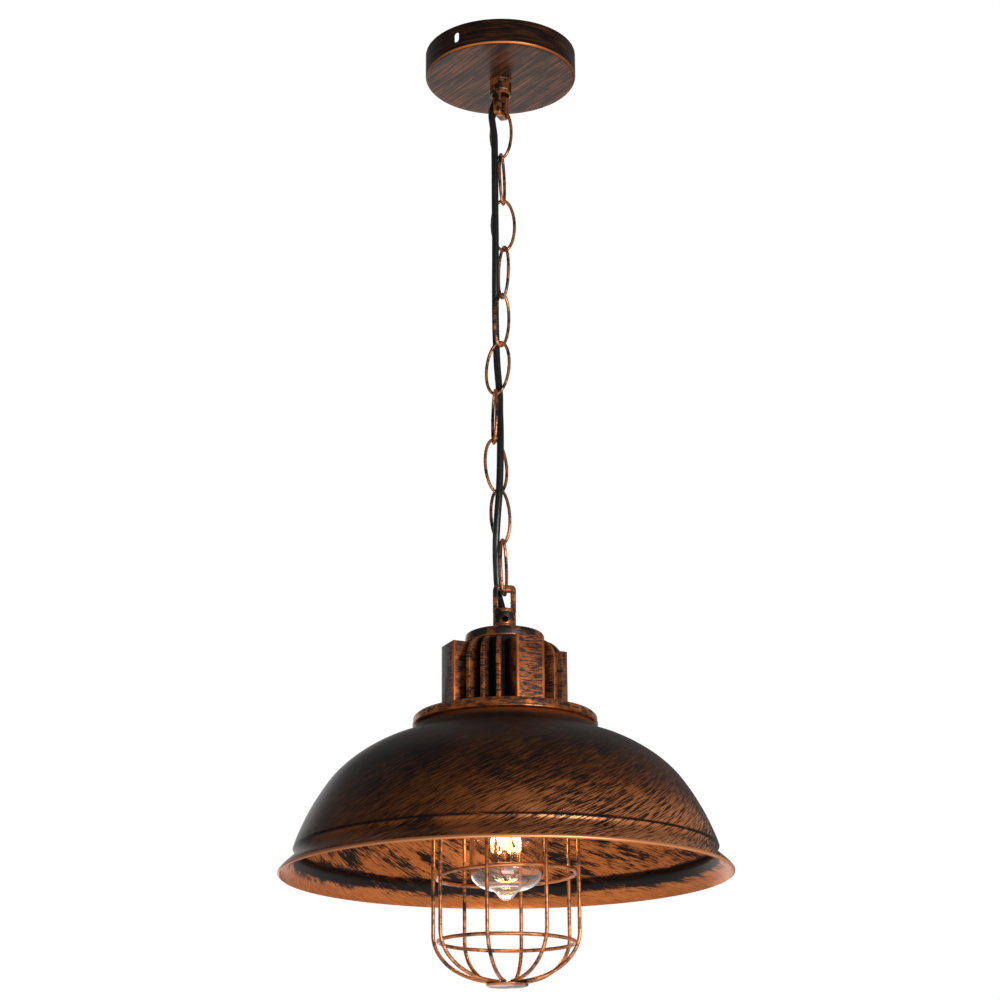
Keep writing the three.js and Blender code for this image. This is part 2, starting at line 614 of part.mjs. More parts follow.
// ---- the pieces ---------------------------------------------------------------------------------
const BRIDGE_TOP = BRIDGE_Z + BRIDGE_THICKNESS;
const CUP_FLOOR = -CANOPY_DEPTH + CANOPY_WALL;

add('ceiling_bracket', ceilingBracket(), STEEL);
add('earth_screw', earthScrew(), BRASS);
add('terminal_block', terminalBlock(), NYLON);
POLES.forEach((x, i) => add(`terminal_screw_${i + 1}`, terminalScrew(x), BRASS));
add('live_core', blockCore(POLES[0]), LIVE_PVC);
add('neutral_core', blockCore(POLES[1]), NEUTRAL_PVC);
add('earth_core', earthCore(), EARTH_PVC);
add('canopy_cup', canopyCup(), AGED);
add('canopy_lower_nut', hexNut(CUP_FLOOR + GAP, BRIDGE_Z - GAP), STEEL);
add('canopy_upper_nut', hexNut(BRIDGE_TOP + GAP, BRIDGE_TOP + GAP + 4), STEEL);
add('canopy_nipple', tubeNipple(CANOPY_LOOP_FACE - LOOP_THREAD + GAP, -9.3), BRASS);
const canopyLoop = add('canopy_loop', hangingLoop(), COPPER);
canopyLoop.rotation.set(Math.PI, 0, radians(CANOPY_LOOP_TURN), 'ZYX');
canopyLoop.position.z = CANOPY_LOOP_FACE;

chain();
add('supply_cord', tube(smooth(CORD_ROUTE), CORD_RADIUS, 70, 8), BLACK_PVC);

const lampLoop = add('lamp_loop', hangingLoop(), COPPER);
lampLoop.rotation.z = radians(LAMP_LOOP_TURN);
lampLoop.position.z = LAMP_LOOP_FACE;
add('lamp_nipple', tubeNipple(-617, LAMP_LOOP_FACE + LOOP_THREAD - GAP), BRASS);
add('housing_cap', housingCap(), AGED);
add('finned_housing', finnedHousing(), AGED);
add('shade', shade(), AGED);
add('shade_washer', ring(16, THREAD_HOLE, CAGE_FLANGE_TOP - 1.5, CAGE_FLANGE_TOP, 20), STEEL);
add('shade_nut', hexNut(HOLDER_TOP + GAP, CAGE_FLANGE_TOP - 1.5 - GAP), STEEL);

add('cage_top_ring', cageTopRing(), COPPER);
CAGE_AZIMUTHS.forEach((azimuth, i) => add(`cage_wire_${i + 1}`, cageWire(azimuth), COPPER));
CAGE_RINGS.forEach((hoop) => add(hoop.name, cageRing(hoop), COPPER));
add('cage_bottom_plate', cagePlate(), COPPER);
SCREW_AZIMUTHS.forEach((azimuth, i) => add(`cage_screw_${i + 1}`, cageScrew(azimuth), STEEL));

add('lampholder_cap', holderCap(), BAKELITE);
add('lampholder_body', ring(HOLDER_RADIUS, HOLDER_BORE, HOLDER_BOTTOM, HOLDER_SPLIT - GAP, 24), BAKELITE);
add('lampholder_insert', rod(HOLDER_BORE - 0.5, INSERT_BOTTOM, INSERT_TOP, 24), PORCELAIN);
add('lampholder_live_core', holderCore(TERMINAL_AZIMUTHS[0]), LIVE_PVC);
add('lampholder_neutral_core', holderCore(TERMINAL_AZIMUTHS[1]), NEUTRAL_PVC);
add('lampholder_earth_core', holderCore(TERMINAL_AZIMUTHS[2]), EARTH_PVC);
add('lampholder_contact', rod(4, INSERT_BOTTOM - 2.4, INSERT_BOTTOM - GAP), BRASS);
add('lampholder_shell', ring(14.5, 13.6, -660, INSERT_BOTTOM - GAP, 24), BRASS);

add('bulb_contact', rod(4.6, BULB_TIP - 1.2, BULB_TIP), STEEL);
add('bulb_insulator', turned([
  [0, BULB_CAP_TOP + GAP], [12, BULB_CAP_TOP + GAP], [6, BULB_TIP - 1.5], [0, BULB_TIP - 1.5],
], 24), BAKELITE);
add('bulb_cap', ring(BULB_CAP_RADIUS, 12.4, BULB_CAP_BOTTOM, BULB_CAP_TOP, 24), BRASS);
add('bulb_glass', bulbGlass(), GLASS);
add('bulb_stem', bulbStem(), GLASS);
add('bulb_filament', bulbFilament(), GLOW);

export default light;
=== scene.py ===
"""Pendant ceiling light: canopy, chain and flex, finned housing, domed shade, cage and bulb.

Metres, +Z up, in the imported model's frame: the origin is on the ceiling plane and the light hangs
below it. -Y is the front. Azimuths count from the front, positive to the right.
"""
import math

import bpy
from mathutils import Matrix, Vector


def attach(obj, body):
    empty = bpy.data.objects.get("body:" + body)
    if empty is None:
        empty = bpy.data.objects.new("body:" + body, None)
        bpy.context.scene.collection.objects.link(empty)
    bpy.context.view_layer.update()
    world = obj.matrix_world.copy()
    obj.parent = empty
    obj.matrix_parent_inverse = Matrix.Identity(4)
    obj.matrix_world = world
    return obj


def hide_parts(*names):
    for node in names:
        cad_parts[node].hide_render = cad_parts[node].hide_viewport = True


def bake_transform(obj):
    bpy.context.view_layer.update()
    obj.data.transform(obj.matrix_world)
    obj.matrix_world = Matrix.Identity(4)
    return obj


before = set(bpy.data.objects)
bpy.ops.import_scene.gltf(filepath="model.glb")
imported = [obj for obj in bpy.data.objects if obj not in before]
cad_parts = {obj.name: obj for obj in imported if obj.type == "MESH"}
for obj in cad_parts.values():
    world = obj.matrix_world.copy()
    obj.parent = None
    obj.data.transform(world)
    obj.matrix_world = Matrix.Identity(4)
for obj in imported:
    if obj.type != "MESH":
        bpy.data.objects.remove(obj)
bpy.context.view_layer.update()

MM = 0.001
TAU = 2 * math.pi


# ---- dimensions, in millimetres ------------------------------------------------------------------
CANOPY = {"radius": 66, "depth": 23.5, "wall": 1.2, "edge": 2.6, "hole": 5.3}
SLOT = {"width": 5.2, "height": 9.5, "z": -11.3, "azimuths": (-35, 145)}
LOOP = {"radius": 9.4, "collar": 15.7, "bore": 7.4, "thread": 3.2, "bar": 33.5, "bar_radius": 3,
        "plate": 6.6, "window": 10.2, "shoulder": 4.5, "corner": 1.5, "groove": 0.5,
        "cross_hole": 2.6, "cross_z": 6, "face_z": -23.8}
CANOPY_LOOP_TURN = 66
LAMP_LOOP_TURN = 5
LINK = {"wire": 2.7, "length": 47.03, "width": 19.3, "gap": 0.3, "weld": 0.14, "weld_width": 0.8}
LINK_STEPS = 120
LINK_OFFSETS = (0.3, 1.2, 1.7, 0.8, -2, -6.6, -7.6, -4.5, -0.8, 0)
LINK_TURNS = (-24, 78, 2, -64, 52, -12, -80, 24, -38, -104)
CORD_RADIUS = 3
CORD_ROUTE = (
    (0, 0, -9), (0, 0, -18), (-0.5, 0.1, -25), (-1.8, 0.2, -33), (-3.6, 0.3, -40),
    (-5.4, 0.2, -47), (-7.3, -0.9, -53), (-8, -2, -60), (-7.2, -4, -69), (-5.9, -5, -80),
    (-5.6, -5.2, -95), (-5.5, -5, -150), (-5.4, -5, -175), (-5.5, -4.4, -197), (-5.7, -2.4, -215),
    (-5.8, 0.3, -232), (-5.8, 2.6, -248), (-5.6, 4.6, -262), (-5.2, 5.6, -276), (-4.6, 5.5, -292),
    (-3.5, 5, -307), (-2.7, 4.3, -320), (-2.7, 2.8, -334), (-2.4, 0, -347), (-2.3, -3, -361),
    (-2.5, -5.2, -377), (-2.9, -6.3, -394), (-3.8, -6.6, -412), (-5.2, -5.8, -430),
    (-6.3, -3.4, -447), (-6.5, 0.6, -461), (-6.1, 4.4, -475), (-5.4, 6.6, -487), (-4.2, 6.6, -496),
    (-2.4, 5.1, -503.5), (-1.1, 3.4, -510), (-0.3, 1.2, -518), (0, 0.2, -526), (0, 0, -540),
    (0, 0, -618),
)
CAP = {"radius": 32.1, "bottom": -537, "top": -524.4}
HUB = {"radius": 30, "cavity": 22, "crown": 5, "top": -537.3}
RIB = {"reach": 50.5, "width": 24.6, "top": -541, "edge": 0.9, "azimuths": (24, 114, 204, 294)}
FIN = {"turns": (30, 45, 60), "thickness": 3.6, "reach": 50, "shoulder": 21, "drop": 0.6,
       "edge": 0.7}
FLANGE = {"top": -592.4, "bottom": -604.6, "radius": 74.6, "shoulder": 52,
          "edge": ((0, 0), (0, 1.2), (0.6, 1.5), (0.6, 5.4), (2.4, 7.4))}
SHADE = {"top": -604.9, "rim": -724.2, "rim_radius": 179.7, "wall": 1.3, "curl": 1.4}
DOME = ((5.3, 0), (40, 0), (66, 0), (71.5, 0.5), (74.3, 3), (81.6, 9.3), (99.2, 16.3),
        (115.4, 25.3), (128.7, 35.3), (140.2, 47.3), (155.6, 71.3), (165.7, 93.3), (168, 100.2))
LIP = ((166.2, 17.9), (166, 15), (168.6, 11), (173.2, 7), (177.6, 3))
CAGE = {"radius": 58.2, "wire": 1.5, "gap": 0.3, "bend": -770, "foot": 7, "flange_top": -606.5,
        "flange_bottom": -608.5, "flange_outer": 61, "flange_inner": 42,
        "plate_radius": 16.7, "plate_top": -809, "plate_bottom": -810.8}
CAGE_AZIMUTHS = (-61.6, -14.7, 31.8, 76.8, 121, 168.4, 215.5, 263)
CAGE_RINGS = (("cage_upper_ring", -724.8, 54.8, -2), ("cage_lower_ring", -776.8, 53.6, 0.6))
SCREW = {"circle": 49, "azimuths": (0, 120, 240), "hole": 2.3, "shank": 2, "grip": 7,
         "head": ((0, 2.2), (2.2, 2.1), (3.3, 1.5), (3.8, 0.7), (3.8, 0)), "cross": (1.9, 0.35)}
ENVELOPE = ((11.9, -652), (12, -662), (16, -668), (23, -678.5), (28, -692), (29, -704),
            (29.2, -716), (29.1, -723), (26.8, -728.5), (22.2, -732.7), (16.4, -735.4),
            (10.6, -736.8), (7.9, -739), (5.8, -741.6), (2.8, -743.7), (0, -744.2))
GLASS_WALL = 0.9
FILAMENT = {"loops": 5, "turn": 15, "bend": 12, "high": (6, -670), "low": (11, -698), "radius": 1.1}


# ---- material nodes ------------------------------------------------------------------------------
def new_material(name, **sockets):
    """A material with its plain shader's sockets set; a key's underscores stand for spaces."""
    material = bpy.data.materials.new(name)
    material.use_nodes = True
    tree = material.node_tree
    shader = tree.nodes["Principled BSDF"]
    for key, value in sockets.items():
        shader.inputs[key.replace("_", " ")].default_value = value
    return material, tree, shader


def node(tree, kind, inputs=None, **settings):
    """A new node; an input is a number, a colour or another node's output."""
    made = tree.nodes.new("ShaderNode" + kind)
    for key, value in settings.items():
        setattr(made, key, value)
    for key, value in (inputs or {}).items():
        if isinstance(value, bpy.types.NodeSocket):
            tree.links.new(value, made.inputs[key])
        else:
            made.inputs[key].default_value = value
    return made


def calc(tree, operation, *values):
    """A sum, product or other operation, carried on from the first value to the last."""
    made = values[0]
    for value in values[1:] or (0.0,):
        made = node(tree, "Math", {0: made, 1: value}, operation=operation).outputs[0]
    return made


def plus(tree, *values):
    return calc(tree, "ADD", *values)


def times(tree, *values):
    return calc(tree, "MULTIPLY", *values)


def greatest(tree, *values):
    return calc(tree, "MAXIMUM", *values)


def rest_of(tree, value):
    """What a value leaves of 1."""
    return calc(tree, "SUBTRACT", 1.0, value)


def size_of(tree, value):
    return calc(tree, "ABSOLUTE", value)


def ramp(tree, value, low, high, start=0.0, end=1.0):
    """A smooth step of a value from low to high."""
    inputs = {"Value": value, "From Min": low, "From Max": high, "To Min": start, "To Max": end}
    return node(tree, "MapRange", inputs, interpolation_type="SMOOTHSTEP").outputs[0]


def plateau(tree, value, rise, fall):
    """1 between two smooth steps, up over the first span and down over the second."""
    return times(tree, ramp(tree, value, *rise), rest_of(tree, ramp(tree, value, *fall)))


def mix(tree, factor, a, b):
    """From colour a to colour b."""
    colours = [tuple(c) + (1,) if isinstance(c, tuple) else c for c in (a, b)]
    inputs = {0: factor, 6: colours[0], 7: colours[1]}
    return node(tree, "Mix", inputs, data_type="RGBA").outputs[2]


def choose(tree, factor, a, b):
    """From value a to value b."""
    return node(tree, "Mix", {0: factor, 2: a, 3: b}).outputs[0]


def noise(tree, place, scale, detail=4.0, roughness=0.55):
    inputs = {"Vector": place, "Scale": scale, "Detail": detail, "Roughness": roughness}
    return node(tree, "TexNoise", inputs).outputs[0]


def object_place(tree):
    return node(tree, "TexCoord").outputs["Object"]


def split(tree, place):
    """A place's three coordinates."""
    return node(tree, "SeparateXYZ", {0: place}).outputs


def flow_place(tree, radius):
    """The flow map in metres on a turned piece: along the circle, and along the outline."""
    flow = split(tree, node(tree, "UVMap", uv_map="flow").outputs[0])
    along = times(tree, flow[0], radius)
    return node(tree, "CombineXYZ", {0: along, 1: flow[1]}).outputs[0]


def scaled(tree, place, scale):
    return node(tree, "VectorMath", {0: place, 1: scale}, operation="MULTIPLY").outputs[0]


def rotated(tree, place, degrees):
    """A place turned about Z."""
    inputs = {"Vector": place, "Angle": math.radians(degrees)}
    return node(tree, "VectorRotate", inputs, rotation_type="Z_AXIS").outputs[0]


def strokes(tree, place, turn, length, width, detail=3.0):
    """Noise drawn out along the turned X axis, as brush strokes of a length and width in metres."""
    drawn_out = scaled(tree, rotated(tree, place, turn), (1 / length, 1 / width, 1 / width))
    return noise(tree, drawn_out, 1.0, detail, 0.62)


def ragged(tree, coarse, fine, low, high, bite=0.5):
    """A coarse field whose edge is broken up by a finer one."""
    field = plus(tree, coarse, times(tree, calc(tree, "SUBTRACT", fine, 0.5), bite))
    return ramp(tree, field, low, high)


def over(tree, low, high):
    """0 below a height and 1 above the other, in millimetres."""
    return ramp(tree, split(tree, object_place(tree))[2], low * MM, high * MM)


def under(tree, low, high):
    return rest_of(tree, over(tree, low, high))


def band(tree, low, high, soft=1.0):
    """1 between two heights, and 0 that much further out."""
    return times(tree, over(tree, low - soft, low), under(tree, high, high + soft))


def steepness(tree):
    """How nearly the surface faces straight up or down."""
    return size_of(tree, split(tree, node(tree, "TexCoord").outputs["Normal"])[2])


def link_input(tree, shader, name, value):
    tree.links.new(value, shader.inputs[name])


def bump(tree, shader, height, strength, distance):
    made = node(tree, "Bump", {"Height": height, "Strength": strength, "Distance": distance})
    link_input(tree, shader, "Normal", made.outputs[0])


def paint_metal(tree, shader, copper_mask, copper, dark, shine=(0.3, 0.62), rough=(0.42, 0.34)):
    """Black paint where the mask is 0 and brushed-on copper paint where it is 1; some masks also
    carry painted light and shade.
    """
    link_input(tree, shader, "Base Color", mix(tree, copper_mask, dark, copper))
    link_input(tree, shader, "Metallic", ramp(tree, copper_mask, 0, 1, *shine))
    link_input(tree, shader, "Roughness", ramp(tree, copper_mask, 0, 1, *rough))


# ---- camera, backdrop and light ------------------------------------------------------------------
CAMERA_AT = (0, -1.8106, -1.0085)
CAMERA_PITCH = math.radians(18.19)
CAMERA_ROLL = -0.0072
CAMERA_LENS = 82.71
CAMERA_SHIFT_X = -0.0036
FLOOR_Z = -2.4                       # the height of a room, below the ceiling
FLOOR_HALF = 30.0
FLOOR_COLOUR = (0.8, 0.8, 0.79, 1)
FLOOR_GLOW = 0.4
WHITE = (1, 1, 1, 1)
WORLD_FADE = (-0.25, 0.55)           # where it brightens, between the front at -1 and the back at 1
WORLD_FRONT = 0.07
WORLD_BACK = 0.26
LIGHTS = (                           # name, place, aim, size, watts
    ("key", (1.1, -1.7, -0.7), (0, 0, -0.6), (0.8, 0.8), 28),
    ("low_fill", (0.1, -1.4, -1.9), (0, 0, -0.65), (1.2, 0.8), 9),
    ("back_fill", (-0.5, 2.0, -0.5), (0, 0, -0.55), (1.6, 1.6), 11),
    ("canopy_fill", (0.2, -1.0, -0.9), (0, 0, 0), (0.6, 0.6), 1.0),
)


def set_camera():
    data = bpy.data.cameras.new("camera")
    data.lens = CAMERA_LENS
    data.sensor_width = 36
    data.shift_x = CAMERA_SHIFT_X
    camera = bpy.data.objects.new("camera", data)
    pitch = Matrix.Rotation(math.pi / 2 + CAMERA_PITCH, 4, "X")
    roll = Matrix.Rotation(CAMERA_ROLL, 4, "Z")
    camera.matrix_world = Matrix.Translation(CAMERA_AT) @ pitch @ roll
    bpy.context.scene.collection.objects.link(camera)
    bpy.context.scene.camera = camera


def area_light(name, place, aim, size, power):
    data = bpy.data.lights.new(name, "AREA")
    data.shape = "RECTANGLE"
    data.size, data.size_y = size
    data.energy = power
    lamp = bpy.data.objects.new(name, data)
    lamp.location = place
    away = Vector(place) - Vector(aim)
    lamp.rotation_euler = away.to_track_quat("Z", "Y").to_euler()
    bpy.context.scene.collection.objects.link(lamp)


def set_world():
    """White to the eye; as light on the object, dim from the front and brighter from behind."""
    world = bpy.data.worlds.new("studio")
    world.use_nodes = True
    bpy.context.scene.world = world
    tree = world.node_tree
    facing = split(tree, node(tree, "TexCoord").outputs["Generated"])[1]
    fade = ramp(tree, facing, *WORLD_FADE, WORLD_FRONT, WORLD_BACK)
    shell = tree.nodes["Background"]
    shell.inputs["Color"].default_value = WHITE
    tree.links.new(fade, shell.inputs["Strength"])
    seen = node(tree, "Background", {"Color": WHITE}).outputs[0]
    is_seen = node(tree, "LightPath").outputs["Is Camera Ray"]
    both = node(tree, "MixShader", {0: is_seen, 1: shell.outputs[0], 2: seen}).outputs[0]
    tree.links.new(both, tree.nodes["World Output"].inputs["Surface"])


def set_floor():
    mesh = bpy.data.meshes.new("floor")
    corners = [(-1, -1), (1, -1), (1, 1), (-1, 1)]
    mesh.from_pydata([(x * FLOOR_HALF, y * FLOOR_HALF, FLOOR_Z) for x, y in corners], [],
                     [(0, 1, 2, 3)])
    floor = bpy.data.objects.new("floor", mesh)
    bpy.context.scene.collection.objects.link(floor)
    pale = new_material("pale_floor", Base_Color=FLOOR_COLOUR, Roughness=0.7, Emission_Color=WHITE,
                        Emission_Strength=FLOOR_GLOW)[0]
    mesh.materials.append(pale)


set_camera()
set_world()
set_floor()
bpy.context.scene.view_settings.view_transform = "Standard"
for light in LIGHTS:
    area_light(*light)


# ---- mesh making ---------------------------------------------------------------------------------
SHARP_ANGLE = 30


def add_mesh(name, points, faces, uvs=None, sharp=SHARP_ANGLE):
    """A smooth-shaded object from points in millimetres; uvs has one pair for each face corner."""
    mesh = bpy.data.meshes.new(name)
    mesh.from_pydata([Vector(p) * MM for p in points], [], faces)
    if uvs:
        layer = mesh.uv_layers.new(name="flow")
        layer.data.foreach_set("uv", [value for pair in uvs for value in pair])
    mesh.shade_smooth()
    mesh.set_sharp_from_angle(angle=math.radians(sharp))
    mesh.update()
    obj = bpy.data.objects.new(name, mesh)
    bpy.context.scene.collection.objects.link(obj)
    return obj


def fillet(points, radius, closed=True, steps=4):
    """The outline with its corners rounded, as far as the stretches between them allow."""
    made = []
    count = len(points)
    for i, point in enumerate(points):
        if not closed and i in (0, count - 1):
            made.append(tuple(point))
            continue
        here = Vector(point)
        before = Vector(points[i - 1]) - here
        after = Vector(points[(i + 1) % count]) - here
        reach = min(radius, 0.45 * before.length, 0.45 * after.length)
        start = here + before.normalized() * reach
        end = here + after.normalized() * reach
        for k in range(steps + 1):
            t = k / steps
            made.append(tuple(start * (1 - t) ** 2 + here * 2 * t * (1 - t) + end * t * t))
    return made


def spline(points, steps):
    """A centripetal Catmull-Rom curve through the points, with that many steps in each stretch."""
    pts = [Vector(p) for p in points]
    ends = [2 * pts[0] - pts[1]] + pts + [2 * pts[-1] - pts[-2]]
    made = []
    for p0, p1, p2, p3 in zip(ends, ends[1:], ends[2:], ends[3:]):
        t1 = math.sqrt((p1 - p0).length)
        t2 = t1 + math.sqrt((p2 - p1).length)
        t3 = t2 + math.sqrt((p3 - p2).length)
        for k in range(steps):
            t = t1 + (t2 - t1) * k / steps
            a1 = p0 * ((t1 - t) / t1) + p1 * (t / t1)
            a2 = p1 * ((t2 - t) / (t2 - t1)) + p2 * ((t - t1) / (t2 - t1))
            a3 = p2 * ((t3 - t) / (t3 - t2)) + p3 * ((t - t2) / (t3 - t2))
            b1 = a1 * ((t2 - t) / t2) + a2 * (t / t2)
            b2 = a2 * ((t3 - t) / (t3 - t1)) + a3 * ((t - t1) / (t3 - t1))
            made.append(b1 * ((t2 - t) / (t2 - t1)) + b2 * ((t - t1) / (t2 - t1)))
    made.append(pts[-1])
    return made


def turned(name, outline, segments, sharp=SHARP_ANGLE):
    """An outline of (radius, z), turned about Z. It closes on itself, or runs from axis to axis.

    Its "flow" map holds the azimuth in radians and the distance along the outline in metres.
    """
    pts = [Vector(p) for p in outline]
    area = sum(a.x * b.y - b.x * a.y for a, b in zip(pts, pts[1:] + pts[:1]))
    if area < 0:
        pts.reverse()
    poles = pts[0].x < 1e-6 and pts[-1].x < 1e-6
    run = [0.0]
    for a, b in zip(pts, pts[1:] + pts[:1]):
        run.append(run[-1] + (b - a).length * MM)
    points, rows = [], []
    for p in pts:
        if p.x < 1e-6:
            rows.append([len(points)] * segments)
            points.append((0, 0, p.y))
            continue
        rows.append([len(points) + i for i in range(segments)])
        for i in range(segments):
            a = TAU * i / segments
            points.append((-p.x * math.sin(a), p.x * math.cos(a), p.y))
    faces, uvs = [], []
    for j in range(len(pts) - (1 if poles else 0)):
        low, high = rows[j], rows[(j + 1) % len(pts)]
        for i in range(segments):
            k = (i + 1) % segments
            a0, a1 = TAU * i / segments - math.pi, TAU * (i + 1) / segments - math.pi
            corners = [(low[i], (a0, run[j])), (high[i], (a0, run[j + 1])),
                       (high[k], (a1, run[j + 1])), (low[k], (a1, run[j]))]
            corners.reverse()
            kept = [c for n, c in enumerate(corners) if c[0] != corners[n - 1][0]]
            faces.append([c[0] for c in kept])
            uvs.extend(c[1] for c in kept)
    return add_mesh(name, points, faces, uvs, sharp)


def frames_along(path, closed=False):
    """A tangent, side and up at each point of a path, turning as little as possible."""
    tangents = []
    count = len(path)
    for i in range(count):
        if closed:
            step = path[(i + 1) % count] - path[i - 1]
        else:
            step = path[min(i + 1, count - 1)] - path[max(i - 1, 0)]
        tangents.append(step.normalized())
    guess = Vector((0, 1, 0)) if abs(tangents[0].y) < 0.9 else Vector((1, 0, 0))
    side = (guess - tangents[0] * guess.dot(tangents[0])).normalized()
    made = []
    for tangent in tangents:
        side = (side - tangent * side.dot(tangent)).normalized()
        made.append((tangent, side, tangent.cross(side)))
    return made


def tube(name, path, radius, sides=16, closed=False, frames=None):
    """A round wire along a path; its "flow" map holds the turn and the distance along it."""
    path = [Vector(p) for p in path]
    frames = frames or frames_along(path, closed)
    radii = radius if isinstance(radius, (list, tuple)) else [radius] * len(path)
    points, run = [], [0.0]
    for here, r, (_, side, up) in zip(path, radii, frames):
        for i in range(sides):
            a = TAU * i / sides
            points.append(here + (side * math.cos(a) + up * math.sin(a)) * r)
    for a, b in zip(path, path[1:] + path[:1]):
        run.append(run[-1] + (b - a).length * MM)
    faces, uvs = [], []
    for j in range(len(path) if closed else len(path) - 1):
        low, high = j * sides, ((j + 1) % len(path)) * sides
        for i in range(sides):
            k = (i + 1) % sides
            faces.append((low + i, low + k, high + k, high + i))
            a0, a1 = TAU * i / sides, TAU * (i + 1) / sides
            uvs.extend([(a0, run[j]), (a1, run[j]), (a1, run[j + 1]), (a0, run[j + 1])])
    if not closed:
        last = (len(path) - 1) * sides
        faces.append(tuple(reversed(range(sides))))
        faces.append(tuple(range(last, last + sides)))
        uvs.extend([(0, 0)] * (2 * sides))
    return add_mesh(name, points, faces, uvs)


def slab(name, outline, low, high, edge=0.0):
    """An outline of (x, y), stood up from low to high along Z, its edges rounded."""
    area = sum(a[0] * b[1] - b[0] * a[1] for a, b in zip(outline, outline[1:] + outline[:1]))
    if area < 0:
        outline = outline[::-1]
    count = len(outline)
    points = [(x, y, low) for x, y in outline] + [(x, y, high) for x, y in outline]
    faces = [tuple(reversed(range(count))), tuple(range(count, 2 * count))]
    for i in range(count):
        k = (i + 1) % count
        faces.append((i, k, count + k, count + i))
    obj = add_mesh(name, points, faces)
    if edge:
        bevel(obj, edge)
    return obj


def bevel(obj, width):
    tool = obj.modifiers.new("edges", "BEVEL")
    tool.width = width * MM
    tool.segments = 3
    tool.limit_method = "ANGLE"
    tool.angle_limit = math.radians(SHARP_ANGLE)
    apply_modifiers(obj)


def apply_modifiers(obj):
    graph = bpy.context.evaluated_depsgraph_get()
    mesh = bpy.data.meshes.new_from_object(obj.evaluated_get(graph))
    obj.modifiers.clear()
    old = obj.data
    obj.data = mesh
    bpy.data.meshes.remove(old)
    mesh.name = obj.name


def placed(obj, matrix):
    obj.data.transform(matrix)
    return obj


def boolean(obj, tools, kind):
    for other in tools:
        step = obj.modifiers.new(kind, "BOOLEAN")
        step.operation = kind
        step.solver = "EXACT"
        step.object = other
        apply_modifiers(obj)
    for other in tools:
        mesh = other.data
        bpy.data.objects.remove(other)
        bpy.data.meshes.remove(mesh)
    obj.data.shade_smooth()
    obj.data.set_sharp_from_angle(angle=math.radians(SHARP_ANGLE))


def lift(z):
    return Matrix.Translation((0, 0, z * MM))


def spin(degrees):
    return Matrix.Rotation(math.radians(degrees), 4, "Z")


def lying(axis):
    """The quarter turn about an axis that lays an upright piece down."""
    return Matrix.Rotation(math.pi / 2, 4, axis)


def to_azimuth(azimuth):
    """The turn that brings +X to an azimuth from the front."""
    return spin(azimuth - 90)


def finished(obj, body, slot, material, *nodes):
    """Gives a piece its material and body, and the CAD nodes that it stands for. The slot is not
    used.
    """
    obj.data.materials.clear()
    obj.data.materials.append(material)
    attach(obj, body)
    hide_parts(*nodes)
    return obj


# ---- materials -----------------------------------------------------------------------------------
BLACK_PAINT = (0.010, 0.007, 0.006)
BROWN_PAINT = (0.036, 0.013, 0.005)
# The cup face's brown, lighter than its black side: streaked paint and painted light from below.
CUP_FACE_PAINT_AND_LIGHT = (0.040, 0.018, 0.011)
HOUSING_PAINT = (0.035, 0.022, 0.022)
DEEP_COPPER = (0.42, 0.105, 0.022)
COPPER = (0.62, 0.19, 0.048)
PALE_COPPER = (0.72, 0.29, 0.12)
FILAMENT_COLOURS = ((1.0, 0.72, 0.30), (1.0, 0.86, 0.55))
FILAMENT_GLOW = 110.0

# Brush strokes: their turn in degrees, and their length and width in metres.
SHADE_FINE = (-34, 0.014, 0.0009)
SHADE_WIDE = (-40, 0.05, 0.0019)
INSIDE_FINE = (28, 0.010, 0.0009)
INSIDE_WIDE = (26, 0.045, 0.010)
CUP_FINE = (54, 0.05, 0.0008)
HOUSING_FINE = (55, 0.012, 0.0011)

# Where the shade's paint, its painted light and its painted shade change. Round it, in metres from
# the front; up it, in millimetres.
FLOW_RADIUS = 0.13
SHADE_LIT_FRONT = ((-0.2, 0.02), (0.17, 0.23))
SHADE_LIT_RIGHT = ((-0.05, 0.05), (0.13, 0.21))
SHADE_BACK = (0.21, 0.29)
SHADE_LOW = (-700, -625)
SHADE_FOOT = (-702, -668)
SHADE_STEP_SHADOW = (-706.4, -704.6)
SHADE_COVE = (-708, -706)
SHADE_NECK_LIGHT = (-612, -605.5)
SHADE_EDGE = (-722.8, -722.2)
INSIDE_BAND = (-713, -705)
INSIDE_LIP = (-719, -716)

CUP_EDGE = (-23.2, -21.9)
# How far from the middle of the front and back the cup's edge is painted brighter, a painted
# highlight, in metres.
CUP_LIT_MIDDLE = (0.025, 0.064)

# Where the housing's paint and the painted shade on its sides change: distances in metres, heights
# in millimetres.
RIB_BORDER = (0.0098, 0.0104)
RIB_SIDE = (0.0126, 0.0135)
RIB_FACE = (0.0498, 0.0504)
FIN_REACH = (0.037, 0.050)
HOUSING_FOOT = (-591, -589.5)
FLANGE_TOP = (-593, -592)
CAP_START = (-537.2, -537)
CAP_FOOT = (-536.2, -535.6)
HOUSING_SHADED_LEFT = (-0.047, -0.042)
HOUSING_SHADED_RIGHT = (0.034, 0.044)


